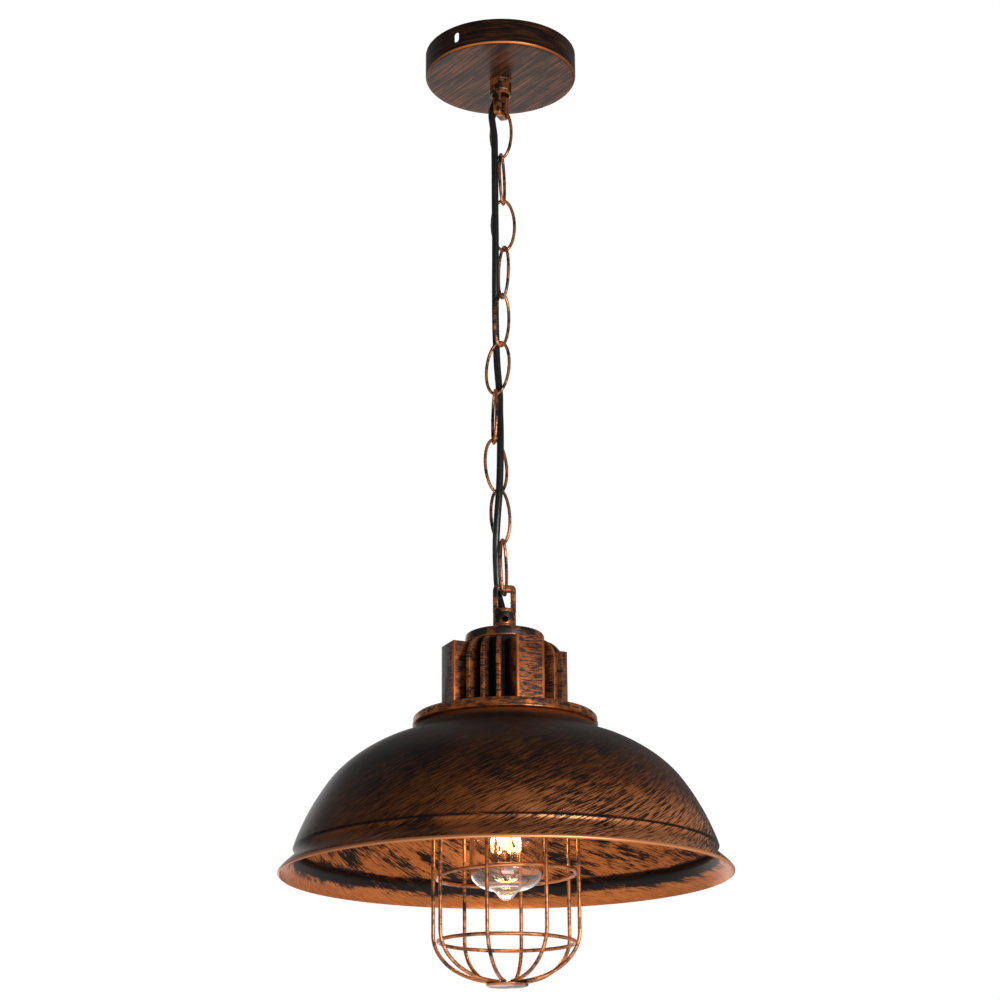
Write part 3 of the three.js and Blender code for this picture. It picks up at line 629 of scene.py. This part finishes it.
def aged_and_lit_shade_outside():
    """Black over copper, dry-brushed upwards to the right, barest round the cove and the rim; with
    painted light and shade.
    """
    material, tree, shader = new_material("aged_and_lit_shade_outside", Specular_IOR_Level=0.15)
    place = flow_place(tree, FLOW_RADIUS)
    along = split(tree, place)[0]
    # Painted light: copper is fuller and stronger at the front and low down, most at the lower
    # right, where the light falls; the left front is left darker as painted shade. The back is
    # brushed like the front.
    back = ramp(tree, size_of(tree, along), *SHADE_BACK)
    front = greatest(tree, plateau(tree, along, *SHADE_LIT_FRONT), back)
    right = greatest(tree, plateau(tree, along, *SHADE_LIT_RIGHT), back)
    low_down = under(tree, *SHADE_LOW)
    lit_foot_right = times(tree, under(tree, *SHADE_FOOT), right)
    cloud = noise(tree, place, 14.0, 3.0)
    fine = strokes(tree, place, *SHADE_FINE, 4.0)
    wide = strokes(tree, place, *SHADE_WIDE, 4.0)

    bare = plus(tree, times(tree, wide, 0.6), times(tree, cloud, 0.4))
    zone = plus(tree, times(tree, low_down, 0.14), times(tree, front, 0.07))
    brushed = ragged(tree, plus(tree, bare, zone), fine, 0.62, 0.80, 2.2)
    # Painted light: the strokes are strongest low at the front and brightest at the lower right.
    strength = plus(tree, times(tree, front, low_down, 0.2), times(tree, lit_foot_right, 0.85), 0.10)
    brushed = times(tree, brushed, strength)
    # Copper in the cove under the step: worn paint, strongest at the front as painted light.
    cove = times(tree, under(tree, *SHADE_COVE), ragged(tree, cloud, fine, 0.42, 0.66, 1.2),
                 plus(tree, times(tree, front, 0.8), 0.1))
    # Painted light: a copper glow at the front just under the flange, where the dome faces up.
    neck = times(tree, over(tree, *SHADE_NECK_LIGHT), front, 0.6)
    # Copper on the rolled rim: worn edge all round, raised at the front as a painted highlight.
    rim = times(tree, under(tree, *SHADE_EDGE), plus(tree, times(tree, front, 0.5), 0.5))
    # Painted shadow: a dark line under the step where the dome overhangs the lip, broken in places.
    step_shadow_depth = plus(tree, times(tree, ragged(tree, cloud, fine, 0.35, 0.6, 0.8), -0.6), 1.0)
    step = rest_of(tree, times(tree, band(tree, *SHADE_STEP_SHADOW, 0.6), step_shadow_depth))
    mask = times(tree, greatest(tree, brushed, cove, neck, rim), step)

    copper = mix(tree, wide, DEEP_COPPER, COPPER)
    # Painted highlight: pale copper on the rim and at the lower right.
    painted_highlight = greatest(tree, rim, times(tree, lit_foot_right, 0.55))
    copper = mix(tree, painted_highlight, copper, PALE_COPPER)
    dark = mix(tree, ragged(tree, cloud, fine, 0.30, 0.70), BLACK_PAINT, BROWN_PAINT)
    paint_metal(tree, shader, mask, copper, dark)
    bump(tree, shader, fine, 0.2, 0.0003)
    return material


def aged_shade_inside():
    """Copper with black dragged over it upwards to the right, and a black band above the lip."""
    material, tree, shader = new_material("aged_shade_inside", Specular_IOR_Level=0.2)
    place = flow_place(tree, FLOW_RADIUS)
    fine = strokes(tree, place, *INSIDE_FINE, 4.0)
    wide = strokes(tree, place, *INSIDE_WIDE)
    bare = ragged(tree, wide, fine, 0.43, 0.55, 0.9)
    swell = times(tree, noise(tree, place, 22.0, 3.0), 0.7)
    above_lip = plus(tree, times(tree, band(tree, *INSIDE_BAND, 5.0), 0.55), swell)
    covered = ragged(tree, above_lip, fine, 0.68, 0.80, 1.3)
    lip = times(tree, under(tree, *INSIDE_LIP), 0.85)
    mask = greatest(tree, times(tree, bare, rest_of(tree, covered)), lip)
    copper = mix(tree, ramp(tree, fine, 0.3, 0.6), DEEP_COPPER, COPPER)
    paint_metal(tree, shader, mask, copper, BLACK_PAINT)
    bump(tree, shader, fine, 0.15, 0.0003)
    return material


def aged_cup():
    """Level streaks on the side, slanting ones on the face, and copper along the rounded edge, with
    painted light.
    """
    material, tree, shader = new_material("aged_cup", Specular_IOR_Level=0.15)
    place = object_place(tree)
    flat = ramp(tree, steepness(tree), 0.75, 0.95)
    level = noise(tree, scaled(tree, place, (40, 40, 1300)), 1.0)
    side = times(tree, ramp(tree, level, 0.45, 0.72), 0.2)
    cloud = noise(tree, place, 34.0, 3.0)
    fine = strokes(tree, place, *CUP_FINE, 4.0)
    soft = plus(tree, times(tree, cloud, 0.35), 0.32)
    face = times(tree, ragged(tree, soft, fine, 0.46, 0.80, 1.9), 0.42)
    # Painted highlight: the copper along the rounded edge is worn paint, brightened towards the
    # middle of the front and back.
    middle = rest_of(tree, ramp(tree, size_of(tree, split(tree, place)[0]), *CUP_LIT_MIDDLE))
    edge = times(tree, band(tree, *CUP_EDGE, 0.4), rest_of(tree, flat),
                 plus(tree, times(tree, middle, 0.65), 0.35))
    mask = greatest(tree, choose(tree, flat, side, face), edge)
    # Painted light: the face is painted lighter than the black side, as if lit from below, mixed
    # with its streaks.
    face_streaks_and_light = ramp(tree, plus(tree, soft, times(tree, fine, 0.4)), 0.45, 0.8)
    dark = mix(tree, times(tree, flat, face_streaks_and_light), BLACK_PAINT, CUP_FACE_PAINT_AND_LIGHT)
    paint_metal(tree, shader, mask, mix(tree, cloud, DEEP_COPPER, COPPER), dark)
    bump(tree, shader, fine, 0.15, 0.0003)
    return material


def aged_housing():
    """Cast ribs and fins: copper borders, black dragged level over the faces, black recesses;
    painted shade at the sides.
    """
    material, tree, shader = new_material("aged_housing", Specular_IOR_Level=0.45)
    place = object_place(tree)
    across = split(tree, rotated(tree, place, -RIB["azimuths"][0]))
    inset = calc(tree, "MINIMUM", size_of(tree, across[0]), size_of(tree, across[1]))
    border = ramp(tree, inset, *RIB_BORDER)
    flat_place = scaled(tree, place, (1, 1, 0))
    radius = node(tree, "VectorMath", {0: flat_place}, operation="LENGTH").outputs["Value"]
    marks = noise(tree, scaled(tree, place, (130, 130, 900)), 1.0, 5.0, 0.65)
    patches = noise(tree, place, 110.0, 4.0)

    face = ramp(tree, marks, 0.46, 0.58)
    worn = ragged(tree, patches, marks, 0.45, 0.58, 0.8)
    foot = times(tree, under(tree, *HOUSING_FOOT), worn)
    upright = greatest(tree, face, times(tree, border, worn), foot)
    upright = times(tree, upright, ramp(tree, radius, *FIN_REACH))
    clean = times(tree, border, rest_of(tree, ramp(tree, inset, *RIB_SIDE)),
                  ramp(tree, radius, *RIB_FACE), 0.95)
    upright = greatest(tree, upright, clean)
    hatch = ragged(tree, patches, strokes(tree, place, *HOUSING_FINE), 0.38, 0.52, 1.2)
    mask = choose(tree, ramp(tree, steepness(tree), 0.15, 0.45), upright, hatch)
    # Painted shade: the left side keeps little copper and the right side less, as if lit from the
    # front; the flange keeps its copper.
    x = split(tree, place)[0]
    sides = times(tree, ramp(tree, x, *HOUSING_SHADED_LEFT, 0.12, 1.0),
                  ramp(tree, x, *HOUSING_SHADED_RIGHT, 1.0, 0.45))
    mask = times(tree, mask, greatest(tree, sides, under(tree, *FLANGE_TOP)))
    spots = times(tree, ramp(tree, noise(tree, place, 70.0, 5.0), 0.5, 0.62), 0.75)
    capped = greatest(tree, spots, times(tree, under(tree, *CAP_FOOT), 0.7))
    mask = choose(tree, over(tree, *CAP_START), mask, capped)

    dark = mix(tree, patches, BLACK_PAINT, HOUSING_PAINT)
    copper = mix(tree, ramp(tree, patches, 0.35, 0.75), DEEP_COPPER, COPPER)
    paint_metal(tree, shader, mask, copper, dark)
    bump(tree, shader, marks, 0.25, 0.0004)
    return material


def plated_wire(name, pale, patch_scale, low, high):
    """Copper-plated wire with dark patches, worn bright elsewhere."""
    material, tree, shader = new_material(name, Specular_IOR_Level=0.6)
    place = object_place(tree)
    patches = ramp(tree, noise(tree, place, patch_scale, 5.0, 0.7), low, high)
    marks = ramp(tree, noise(tree, scaled(tree, place, (60, 60, 300)), 1.0), 0.35, 0.5)
    mask = times(tree, patches, greatest(tree, marks, 0.4))
    copper = mix(tree, noise(tree, place, 150.0, 3.0), COPPER, pale)
    paint_metal(tree, shader, mask, copper, BLACK_PAINT, (0.4, 0.75), (0.42, 0.3))
    bump(tree, shader, noise(tree, place, 1 / 0.0015, 3.0), 0.1, 0.0003)
    return material


def plain_metal(name, colour, roughness, grain):
    """Plated or turned metal, with fine scratches and slight stains."""
    material, tree, shader = new_material(name, Metallic=1.0)
    place = object_place(tree)
    stains = ramp(tree, noise(tree, place, 120.0), 0.35, 0.75)
    worn = tuple(0.72 * c for c in colour)
    link_input(tree, shader, "Base Color", mix(tree, stains, colour, worn))
    fine = scaled(tree, rotated(tree, place, 25), (grain, grain * 0.1, grain))
    scratch = noise(tree, fine, 1.0, 3.0)
    rough = ramp(tree, scratch, 0.3, 0.7, roughness * 0.8, roughness * 1.3)
    link_input(tree, shader, "Roughness", rough)
    bump(tree, shader, scratch, 0.06, 0.0002)
    return material


def plastic(name, colour, roughness, speck=0.15, coat=0.0):
    """Moulded plastic, phenolic, nylon or glaze: a faint mottle and a fine orange-peel surface."""
    material, tree, shader = new_material(name, Specular_IOR_Level=0.5, Coat_Weight=coat)
    place = object_place(tree)
    mottle = noise(tree, place, 180.0)
    darker = tuple(c * (1 - speck) for c in colour)
    rough = ramp(tree, mottle, 0.3, 0.7, roughness * 0.85, roughness * 1.15)
    link_input(tree, shader, "Base Color", mix(tree, mottle, colour, darker))
    link_input(tree, shader, "Roughness", rough)
    bump(tree, shader, noise(tree, place, 1400.0, 2.0), 0.05, 0.0002)
    return material


def striped_earth():
    """Green insulation with a yellow stripe winding round it."""
    material, tree, shader = new_material("earth_pvc", Roughness=0.35)
    place = object_place(tree)
    at = split(tree, place)
    phase = plus(tree, times(tree, at[0], 500), times(tree, at[1], 900))
    stripe = ramp(tree, calc(tree, "SINE", phase), -0.1, 0.1)
    colour = mix(tree, stripe, (0.03, 0.22, 0.05), (0.85, 0.68, 0.05))
    link_input(tree, shader, "Base Color", colour)
    bump(tree, shader, noise(tree, place, 1200.0, 2.0), 0.05, 0.0002)
    return material


def cord_sheath():
    """Smooth black flex, a little glossy, with faint lengthwise marks and dust."""
    material, tree, shader = new_material("black_pvc", Specular_IOR_Level=0.55)
    place = object_place(tree)
    dust = ramp(tree, noise(tree, place, 220.0), 0.45, 0.8)
    lines = noise(tree, scaled(tree, place, (900, 900, 25)), 1.0, 2.0)
    colour = mix(tree, dust, (0.008, 0.008, 0.009), (0.022, 0.022, 0.023))
    link_input(tree, shader, "Base Color", colour)
    link_input(tree, shader, "Roughness", ramp(tree, lines, 0.3, 0.7, 0.28, 0.42))
    bump(tree, shader, lines, 0.08, 0.0002)
    return material


def clear_glass(name, tint, roughness=0.0):
    """Clear glass with a coat, which gives it the bright edges of a thin wall."""
    material, tree, shader = new_material(name, Transmission_Weight=1.0, IOR=1.52,
                                          Roughness=roughness, Coat_Weight=0.4, Coat_IOR=1.8)
    cloud = noise(tree, object_place(tree), 60.0, 2.0)
    pale = tuple(min(1.0, c * 1.02) for c in tint)
    link_input(tree, shader, "Base Color", mix(tree, cloud, tint, pale))
    return material


def glowing():
    """Lit filament strips: warm white, yellower in patches."""
    material, tree, shader = new_material("filament", Roughness=0.5,
                                          Emission_Strength=FILAMENT_GLOW)
    cloud = ramp(tree, noise(tree, object_place(tree), 700.0, 2.0), 0.4, 0.6)
    colour = mix(tree, cloud, *FILAMENT_COLOURS)
    link_input(tree, shader, "Emission Color", colour)
    link_input(tree, shader, "Base Color", colour)
    return material


SHADE_OUTSIDE = aged_and_lit_shade_outside()
SHADE_INSIDE = aged_shade_inside()
CUP = aged_cup()
HOUSING = aged_housing()
CHAIN_WIRE = plated_wire("copper_chain", PALE_COPPER, 90.0, 0.40, 0.56)
CAGE_METAL = plated_wire("copper_cage", PALE_COPPER, 45.0, 0.36, 0.52)
LOOP_METAL = plated_wire("copper_loop", COPPER, 110.0, 0.44, 0.60)
STEEL = plain_metal("zinc_steel", (0.62, 0.63, 0.65), 0.32, 2000)
BRASS = plain_metal("brass", (0.78, 0.55, 0.22), 0.28, 2400)
TINNED = plain_metal("tinned_contact", (0.7, 0.7, 0.69), 0.35, 1800)
SHEATH = cord_sheath()
LIVE = plastic("live_pvc", (0.19, 0.07, 0.025), 0.35)
NEUTRAL = plastic("neutral_pvc", (0.02, 0.09, 0.35), 0.35)
EARTH = striped_earth()
NYLON = plastic("nylon", (0.78, 0.75, 0.66), 0.45)
BAKELITE = plastic("bakelite", (0.014, 0.012, 0.011), 0.3, 0.3, 0.2)
PORCELAIN = plastic("porcelain", (0.82, 0.8, 0.74), 0.15, 0.05, 0.5)
GLASS = clear_glass("bulb_clear_glass", (0.97, 0.95, 0.93))
STEM_GLASS = clear_glass("stem_glass", (0.95, 0.95, 0.94), 0.1)
GLOW = glowing()


# ---- cord ----------------------------------------------------------------------------------------
def chain_pivots():
    """What each link turns on, from the canopy's bar down, then what the lamp turns on."""
    on_bar = LOOP["bar_radius"] + LINK["gap"] + LINK["wire"] / 2
    pivots = [Vector((0, 0, LOOP["face_z"] - LOOP["bar"]))]
    for i, x in enumerate(LINK_OFFSETS):
        above = pivots[-1]
        pitch = LINK["length"] - (on_bar if i == 0 else LINK["wire"] + LINK["gap"])
        pivots.append(Vector((x, 0, above.z - math.sqrt(pitch ** 2 - (x - above.x) ** 2))))
    return pivots


PIVOTS = chain_pivots()
LAMP_LOOP_FACE = PIVOTS[-1].z + LOOP["bar_radius"] + LINK["gap"] + LINK["wire"] / 2 - LOOP["bar"]
LINK_NAMES = [f"link_{i + 1:02d}" for i in range(len(LINK_OFFSETS))]


def make_cord():
    """The flex in one stretch for each chain joint.

    Each stretch runs from the middle of one link to the middle of the next, and its ends meet its
    neighbours' face to face.
    """
    path = spline(CORD_ROUTE, 16)
    fine = [path[0]]
    for point in path[1:]:
        if (point - fine[-1]).length > 1.0:
            fine.append(point)
    fine[-1] = path[-1]
    frames = frames_along(fine)
    middles = [(a.z + b.z) / 2 for a, b in zip(PIVOTS, PIVOTS[1:])]
    cuts = [0] + [min(i for i, p in enumerate(fine) if p.z <= z) for z in middles] + [len(fine) - 1]
    for i, (start, end) in enumerate(zip(cuts, cuts[1:])):
        stretch = fine[start:end + 1]
        piece = tube(f"cord_{i + 1:02d}", stretch, CORD_RADIUS, 20, frames=frames[start:end + 1])
        piece.data.materials.append(SHEATH)
        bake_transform(piece)
        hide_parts("supply_cord")


make_cord()


# ---- chain ---------------------------------------------------------------------------------------
def make_link(index):
    """An oval ring of round wire, butt-welded in the middle of one long side."""
    low, high = PIVOTS[index + 1], PIVOTS[index]
    up = (high - low).normalized()
    turn = math.radians(LINK_TURNS[index])
    side = Vector((math.cos(turn), math.sin(turn), 0))
    side = (side - up * side.dot(up)).normalized()
    centre = low + up * LINK["length"] / 2
    half_width, half_length = LINK["width"] / 2, LINK["length"] / 2
    path, frames, radii = [], [], []
    weld = math.pi * (0.5 if index % 2 else 1.5)
    for i in range(LINK_STEPS):
        even = TAU * i / LINK_STEPS
        a = even - 0.33 * math.sin(2 * even)
        path.append(centre + side * math.sin(a) * half_width + up * math.cos(a) * half_length)
        tangent = (side * math.cos(a) * half_width - up * math.sin(a) * half_length).normalized()
        out = (side * math.sin(a) * half_length + up * math.cos(a) * half_width).normalized()
        frames.append((tangent, out, tangent.cross(out)))
        away = abs(a - weld) * half_length
        bulge = LINK["weld"] * math.exp(-(away / LINK["weld_width"]) ** 2)
        radii.append(LINK["wire"] / 2 + bulge)
    link = tube(f"chain_{LINK_NAMES[index]}_wire", path, radii, 16, closed=True, frames=frames)
    finished(link, LINK_NAMES[index], "copper_chain", CHAIN_WIRE, f"chain_{LINK_NAMES[index]}")


for number in range(len(LINK_NAMES)):
    make_link(number)


# ---- hanging loops -------------------------------------------------------------------------------
def ring_points(radius, count):
    angles = [TAU * i / count for i in range(count)]
    return [(radius * math.cos(a), radius * math.sin(a)) for a in angles]


def rod(name, radius, low, high, segments=48):
    return slab(name, ring_points(radius, segments), low, high)


def hanging_loop(name, matrix, body):
    """A cast collar with a square-shouldered eye on it, standing on its face at z 0."""
    r, bar_z, top = LOOP["radius"], LOOP["bar"], LOOP["bar"] + LOOP["bar_radius"]
    half, foot = LOOP["window"] / 2, LOOP["collar"] - 3
    arch = fillet([(r, foot), (r, top), (-r, top), (-r, foot)], LOOP["shoulder"], closed=False,
                  steps=8)
    hole = fillet([(-half, foot), (-half, bar_z), (half, bar_z), (half, foot)], LOOP["corner"],
                  closed=False)
    plate = slab(name, arch + hole, -LOOP["plate"] / 2, LOOP["plate"] / 2, 1.0)
    placed(plate, lying("X"))
    collar_top, groove = LOOP["collar"], LOOP["groove"]
    outline = [(r, 0)]
    for z in (2.5, collar_top - 3):
        outline += [(r, z - groove), (r - groove, z), (r, z + groove)]
    outline = fillet(outline + [(r, collar_top)], 0.4, closed=False, steps=2)
    bore, tapped, thread = LOOP["bore"], CANOPY["hole"], LOOP["thread"]
    inside = [(bore, collar_top), (bore, thread), (tapped, thread), (tapped, 0)]
    collar = turned(name + "_collar", fillet(outline + inside, 0.6, steps=3), 96)
    bar = rod(name + "_bar", LOOP["bar_radius"] - 0.02, -6.5, 6.5)
    placed(bar, lift(bar_z) @ lying("Y"))
    cross = rod(name + "_cross", LOOP["cross_hole"], -15, 15)
    placed(cross, lift(LOOP["cross_z"]) @ lying("X"))
    boolean(plate, [collar, bar], "UNION")
    boolean(plate, [cross], "DIFFERENCE")
    placed(plate, matrix)
    plate.name = plate.data.name = name + "_casting"
    finished(plate, body, "copper_loop", LOOP_METAL, name)


UPSIDE_DOWN = Matrix.Rotation(math.pi, 4, "X")
hanging_loop("canopy_loop", lift(LOOP["face_z"]) @ spin(CANOPY_LOOP_TURN) @ UPSIDE_DOWN, "canopy")
hanging_loop("lamp_loop", lift(LAMP_LOOP_FACE) @ spin(LAMP_LOOP_TURN), "lamp")


# ---- canopy --------------------------------------------------------------------------------------
def inner_side(points, wall):
    """The inner side of a sheet whose outer side runs through the points, from the middle out."""
    made = []
    for i, point in enumerate(points):
        before, after = points[max(i - 1, 0)], points[min(i + 1, len(points) - 1)]
        along = (Vector(after) - Vector(before)).normalized()
        made.append((point[0] + along.y * wall, point[1] - along.x * wall))
    return made


def screw_holes(low, high):
    """Cutters for the three screws that hold the cage and the shade up to the housing."""
    stand = Matrix.Translation((SCREW["circle"] * MM, 0, 0))
    return [placed(rod("hole", SCREW["hole"], low, high, 24), to_azimuth(azimuth) @ stand)
            for azimuth in SCREW["azimuths"]]


def slot_cutter(azimuth):
    radius = SLOT["width"] / 2
    reach = SLOT["height"] / 2 - radius
    outline = [(radius * math.cos(a), reach + radius * math.sin(a))
               for a in (math.pi * i / 12 for i in range(13))]
    outline += [(-x, -y) for x, y in outline]
    cutter = slab("cutter", outline, -6, 6)
    stand = Matrix.Translation((0, -CANOPY["radius"] * MM, SLOT["z"] * MM))
    return placed(cutter, spin(azimuth) @ stand @ lying("X"))


def make_canopy_cup():
    face, r, edge = -CANOPY["depth"], CANOPY["radius"], CANOPY["edge"]
    outer = [(CANOPY["hole"], face), (30, face), (r - edge - 4, face + 0.05)]
    for i in range(9):
        a = math.pi / 2 * i / 8
        outer.append((r - edge + edge * math.sin(a), face + edge - edge * math.cos(a)))
    outer += [(r, -12), (r, -0.3)]
    inner = inner_side(outer, -CANOPY["wall"])
    inner[-1] = (r - CANOPY["wall"], -0.3)
    inner[0] = (CANOPY["hole"], face + CANOPY["wall"])
    cup = turned("canopy_cup_shell", outer + inner[::-1], 192)
    boolean(cup, [slot_cutter(azimuth) for azimuth in SLOT["azimuths"]], "DIFFERENCE")
    finished(cup, "canopy", "aged_cup", CUP, "canopy_cup")


make_canopy_cup()


# ---- housing -------------------------------------------------------------------------------------
def make_housing_cap():
    bottom, top, r = CAP["bottom"], CAP["top"], CAP["radius"]
    outline = [(CANOPY["hole"], top - 4), (24, top - 7), (26, bottom), (r, bottom),
               (r, bottom + 5.4), (31.3, bottom + 7.3), (29, bottom + 8.4), (12, top),
               (CANOPY["hole"], top)]
    cap = turned("housing_cap_casting", fillet(outline, 0.9, steps=3), 128)
    finished(cap, "lamp", "aged_housing", HOUSING, "housing_cap")


def radial_plate(name, outline, thickness, azimuth, edge):
    plate = slab(name, outline, -thickness / 2, thickness / 2, edge)
    return placed(plate, to_azimuth(azimuth) @ lying("X"))


def make_finned_housing():
    root = (HUB["radius"] + HUB["cavity"]) / 2
    top, bottom, r = FLANGE["top"], FLANGE["bottom"], FLANGE["radius"]
    hub_top, ceiling = HUB["top"], HUB["top"] - HUB["crown"]
    outline = [(HUB["cavity"], bottom)]
    outline += [(r - inset, bottom + rise) for inset, rise in FLANGE["edge"]]
    outline += [(FLANGE["shoulder"], top), (HUB["radius"], top), (HUB["radius"], hub_top),
                (CANOPY["hole"], hub_top), (CANOPY["hole"], ceiling), (HUB["cavity"], ceiling)]
    body = turned("finned_housing_casting", fillet(outline, 0.5, steps=3), 160)
    foot = top - 2
    rib = [(root, foot), (RIB["reach"], foot), (RIB["reach"], RIB["top"]), (root, RIB["top"])]
    fin_top = hub_top - FIN["drop"]
    fin = [(root, foot), (FIN["reach"], foot)]
    for i in range(11):
        a = math.pi / 2 * i / 10
        fin.append((CAP["radius"] + (FIN["reach"] - CAP["radius"]) * math.cos(a),
                    fin_top - FIN["shoulder"] * (1 - math.sin(a))))
    fin.append((root, fin_top))
    plates = []
    for azimuth in RIB["azimuths"]:
        plates.append(radial_plate("rib", rib, RIB["width"], azimuth, RIB["edge"]))
        for turn in FIN["turns"]:
            plates.append(radial_plate("fin", fin, FIN["thickness"], azimuth + turn, FIN["edge"]))
    boolean(body, plates, "UNION")
    boolean(body, screw_holes(bottom - 1, bottom + 8), "DIFFERENCE")
    finished(body, "lamp", "aged_housing", HOUSING, "finned_housing")


make_housing_cap()
make_finned_housing()


# ---- shade ---------------------------------------------------------------------------------------
def make_shade():
    """One spun sheet: flat top, dome, a small step, the flared lip and the rolled rim."""
    top, rim, r = SHADE["top"], SHADE["rim"], SHADE["rim_radius"]
    dome = spline([(radius, top - drop, 0) for radius, drop in DOME], 6)
    lip = fillet([(radius, rim + rise) for radius, rise in LIP], 2.5, closed=False, steps=4)
    outer = [(p.x, p.y) for p in dome] + lip
    inner = inner_side(outer, SHADE["wall"])
    inner[0] = (outer[0][0], outer[0][1] - SHADE["wall"])
    roll, curl = [], SHADE["curl"]
    for i in range(9):
        a = math.pi / 2 - math.pi * i / 8
        roll.append((r - curl - 0.1 + curl * math.cos(a), rim + curl * math.sin(a)))
    shade = turned("shade_spinning", outer + roll + inner[::-1], 256, 40)
    boolean(shade, screw_holes(top - 3, top + 1), "DIFFERENCE")
    finished(shade, "lamp", "aged_shade", SHADE_OUTSIDE, "shade")
    shade.data.materials.append(SHADE_INSIDE)
    for face in shade.data.polygons:
        outward = Vector((face.center.x, face.center.y, 0)).normalized()
        face.material_index = 1 if face.normal.dot(outward) + face.normal.z < 0 else 0


make_shade()


# ---- cage ----------------------------------------------------------------------------------------
def cage_piece(obj, name):
    return finished(obj, "lamp", "copper_cage", CAGE_METAL, name)


def make_cage():
    low, high = CAGE["flange_bottom"], CAGE["flange_top"]
    outline = fillet([(CAGE["flange_inner"], low), (CAGE["flange_outer"], low),
                      (CAGE["flange_outer"], high), (CAGE["flange_inner"], high)], 0.5, steps=3)
    flange = turned("cage_top_flange", outline, 128)
    boolean(flange, screw_holes(low - 1, high + 1), "DIFFERENCE")
    cage_piece(flange, "cage_top_ring")
    end = CAGE["plate_top"] + CAGE["gap"] + CAGE["wire"]
    path = [(CAGE["radius"], 0, low - CAGE["gap"] - 8 * k) for k in range(20)]
    path += [(CAGE["foot"] + (CAGE["radius"] - CAGE["foot"]) * math.cos(a), 0,
              CAGE["bend"] - (CAGE["bend"] - end) * math.sin(a))
             for a in (math.pi / 2 * k / 36 for k in range(37))]
    for number, azimuth in enumerate(CAGE_AZIMUTHS, 1):
        wire = tube(f"cage_upright_{number}", path, CAGE["wire"])
        cage_piece(placed(wire, to_azimuth(azimuth)), f"cage_wire_{number}")
    for name, z, radius, tilt in CAGE_RINGS:
        circle = [(x, y, 0) for x, y in ring_points(radius, 144)]
        hoop = tube(name + "_wire", circle, CAGE["wire"], closed=True)
        cage_piece(placed(hoop, lift(z) @ Matrix.Rotation(math.radians(tilt), 4, "Y")), name)
    low, high, r = CAGE["plate_bottom"], CAGE["plate_top"], CAGE["plate_radius"]
    plate = fillet([(0, low), (r - 1, low), (r, low + 1), (r, high), (0, high)], 0.35,
                   closed=False, steps=3)
    cage_piece(turned("cage_foot_disc", plate, 96), "cage_bottom_plate")


def make_cage_screw(number, azimuth):
    """A pan-head screw with a cross recess."""
    head, shank = CAGE["flange_bottom"] - CAGE["gap"], SCREW["shank"]
    tip = FLANGE["bottom"] + SCREW["grip"]
    outline = [(radius, head - drop) for radius, drop in SCREW["head"]]
    outline += [(shank, head), (shank, tip), (0, tip)]
    screw = turned("screw_body", outline, 48)
    cross = [slab("cross", [(-a, -b), (a, -b), (a, b), (-a, b)], head - 3, head - 1.1)
             for a, b in (SCREW["cross"], SCREW["cross"][::-1])]
    boolean(screw, cross, "DIFFERENCE")
    screw.name = screw.data.name = f"cage_screw_{number}_pan_head"
    placed(screw, to_azimuth(azimuth) @ Matrix.Translation((SCREW["circle"] * MM, 0, 0)))
    finished(screw, "lamp", "zinc_steel", STEEL, f"cage_screw_{number}")


make_cage()
for screw_number, place in enumerate(SCREW["azimuths"], 1):
    make_cage_screw(screw_number, place)


# ---- bulb ----------------------------------------------------------------------------------------
def make_bulb_glass():
    outer = [(p.x, p.y) for p in spline([(r, z, 0) for r, z in ENVELOPE], 5)]
    outer[-1] = (0, ENVELOPE[-1][1])
    inner = inner_side(outer, GLASS_WALL)
    inner[-1] = (0, ENVELOPE[-1][1] + GLASS_WALL)
    outline = outer[::-1] + inner
    glass = turned("bulb_envelope", outline, 96, 60)
    finished(glass, "bulb", "bulb_clear_glass", GLASS, "bulb_glass")


def make_filament():
    """Lit strips round a cone that widens downwards, joined by bends as one length."""
    bends = []
    for i in range(2 * FILAMENT["loops"]):
        azimuth = 180 / FILAMENT["loops"] * i + FILAMENT["turn"]
        radius, z = FILAMENT["low"] if i % 2 else FILAMENT["high"]
        for side in (-FILAMENT["bend"], FILAMENT["bend"]):
            a = math.radians(azimuth + side)
            bends.append((radius * math.sin(a), -radius * math.cos(a), z))
    strip = tube("bulb_filament_loops", spline(bends, 10), FILAMENT["radius"], 12)
    finished(strip, "bulb", "filament", GLOW, "bulb_filament")


make_bulb_glass()
make_filament()


# ---- finishes on the CAD nodes that stay ---------------------------------------------------------
KEPT_NODES = {
    STEEL: ("ceiling_bracket", "canopy_lower_nut", "canopy_upper_nut", "shade_washer", "shade_nut"),
    BRASS: ("earth_screw", "terminal_screw_1", "terminal_screw_2", "canopy_nipple", "lamp_nipple",
            "lampholder_contact", "lampholder_shell", "bulb_cap"),
    NYLON: ("terminal_block",),
    LIVE: ("live_core", "lampholder_live_core"),
    NEUTRAL: ("neutral_core", "lampholder_neutral_core"),
    EARTH: ("earth_core", "lampholder_earth_core"),
    BAKELITE: ("lampholder_cap", "lampholder_body", "bulb_insulator"),
    PORCELAIN: ("lampholder_insert",),
    TINNED: ("bulb_contact",),
    STEM_GLASS: ("bulb_stem",),
}
for finish, names in KEPT_NODES.items():
    for name in names:
        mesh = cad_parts[name].data
        mesh.materials.clear()
        mesh.materials.append(finish)
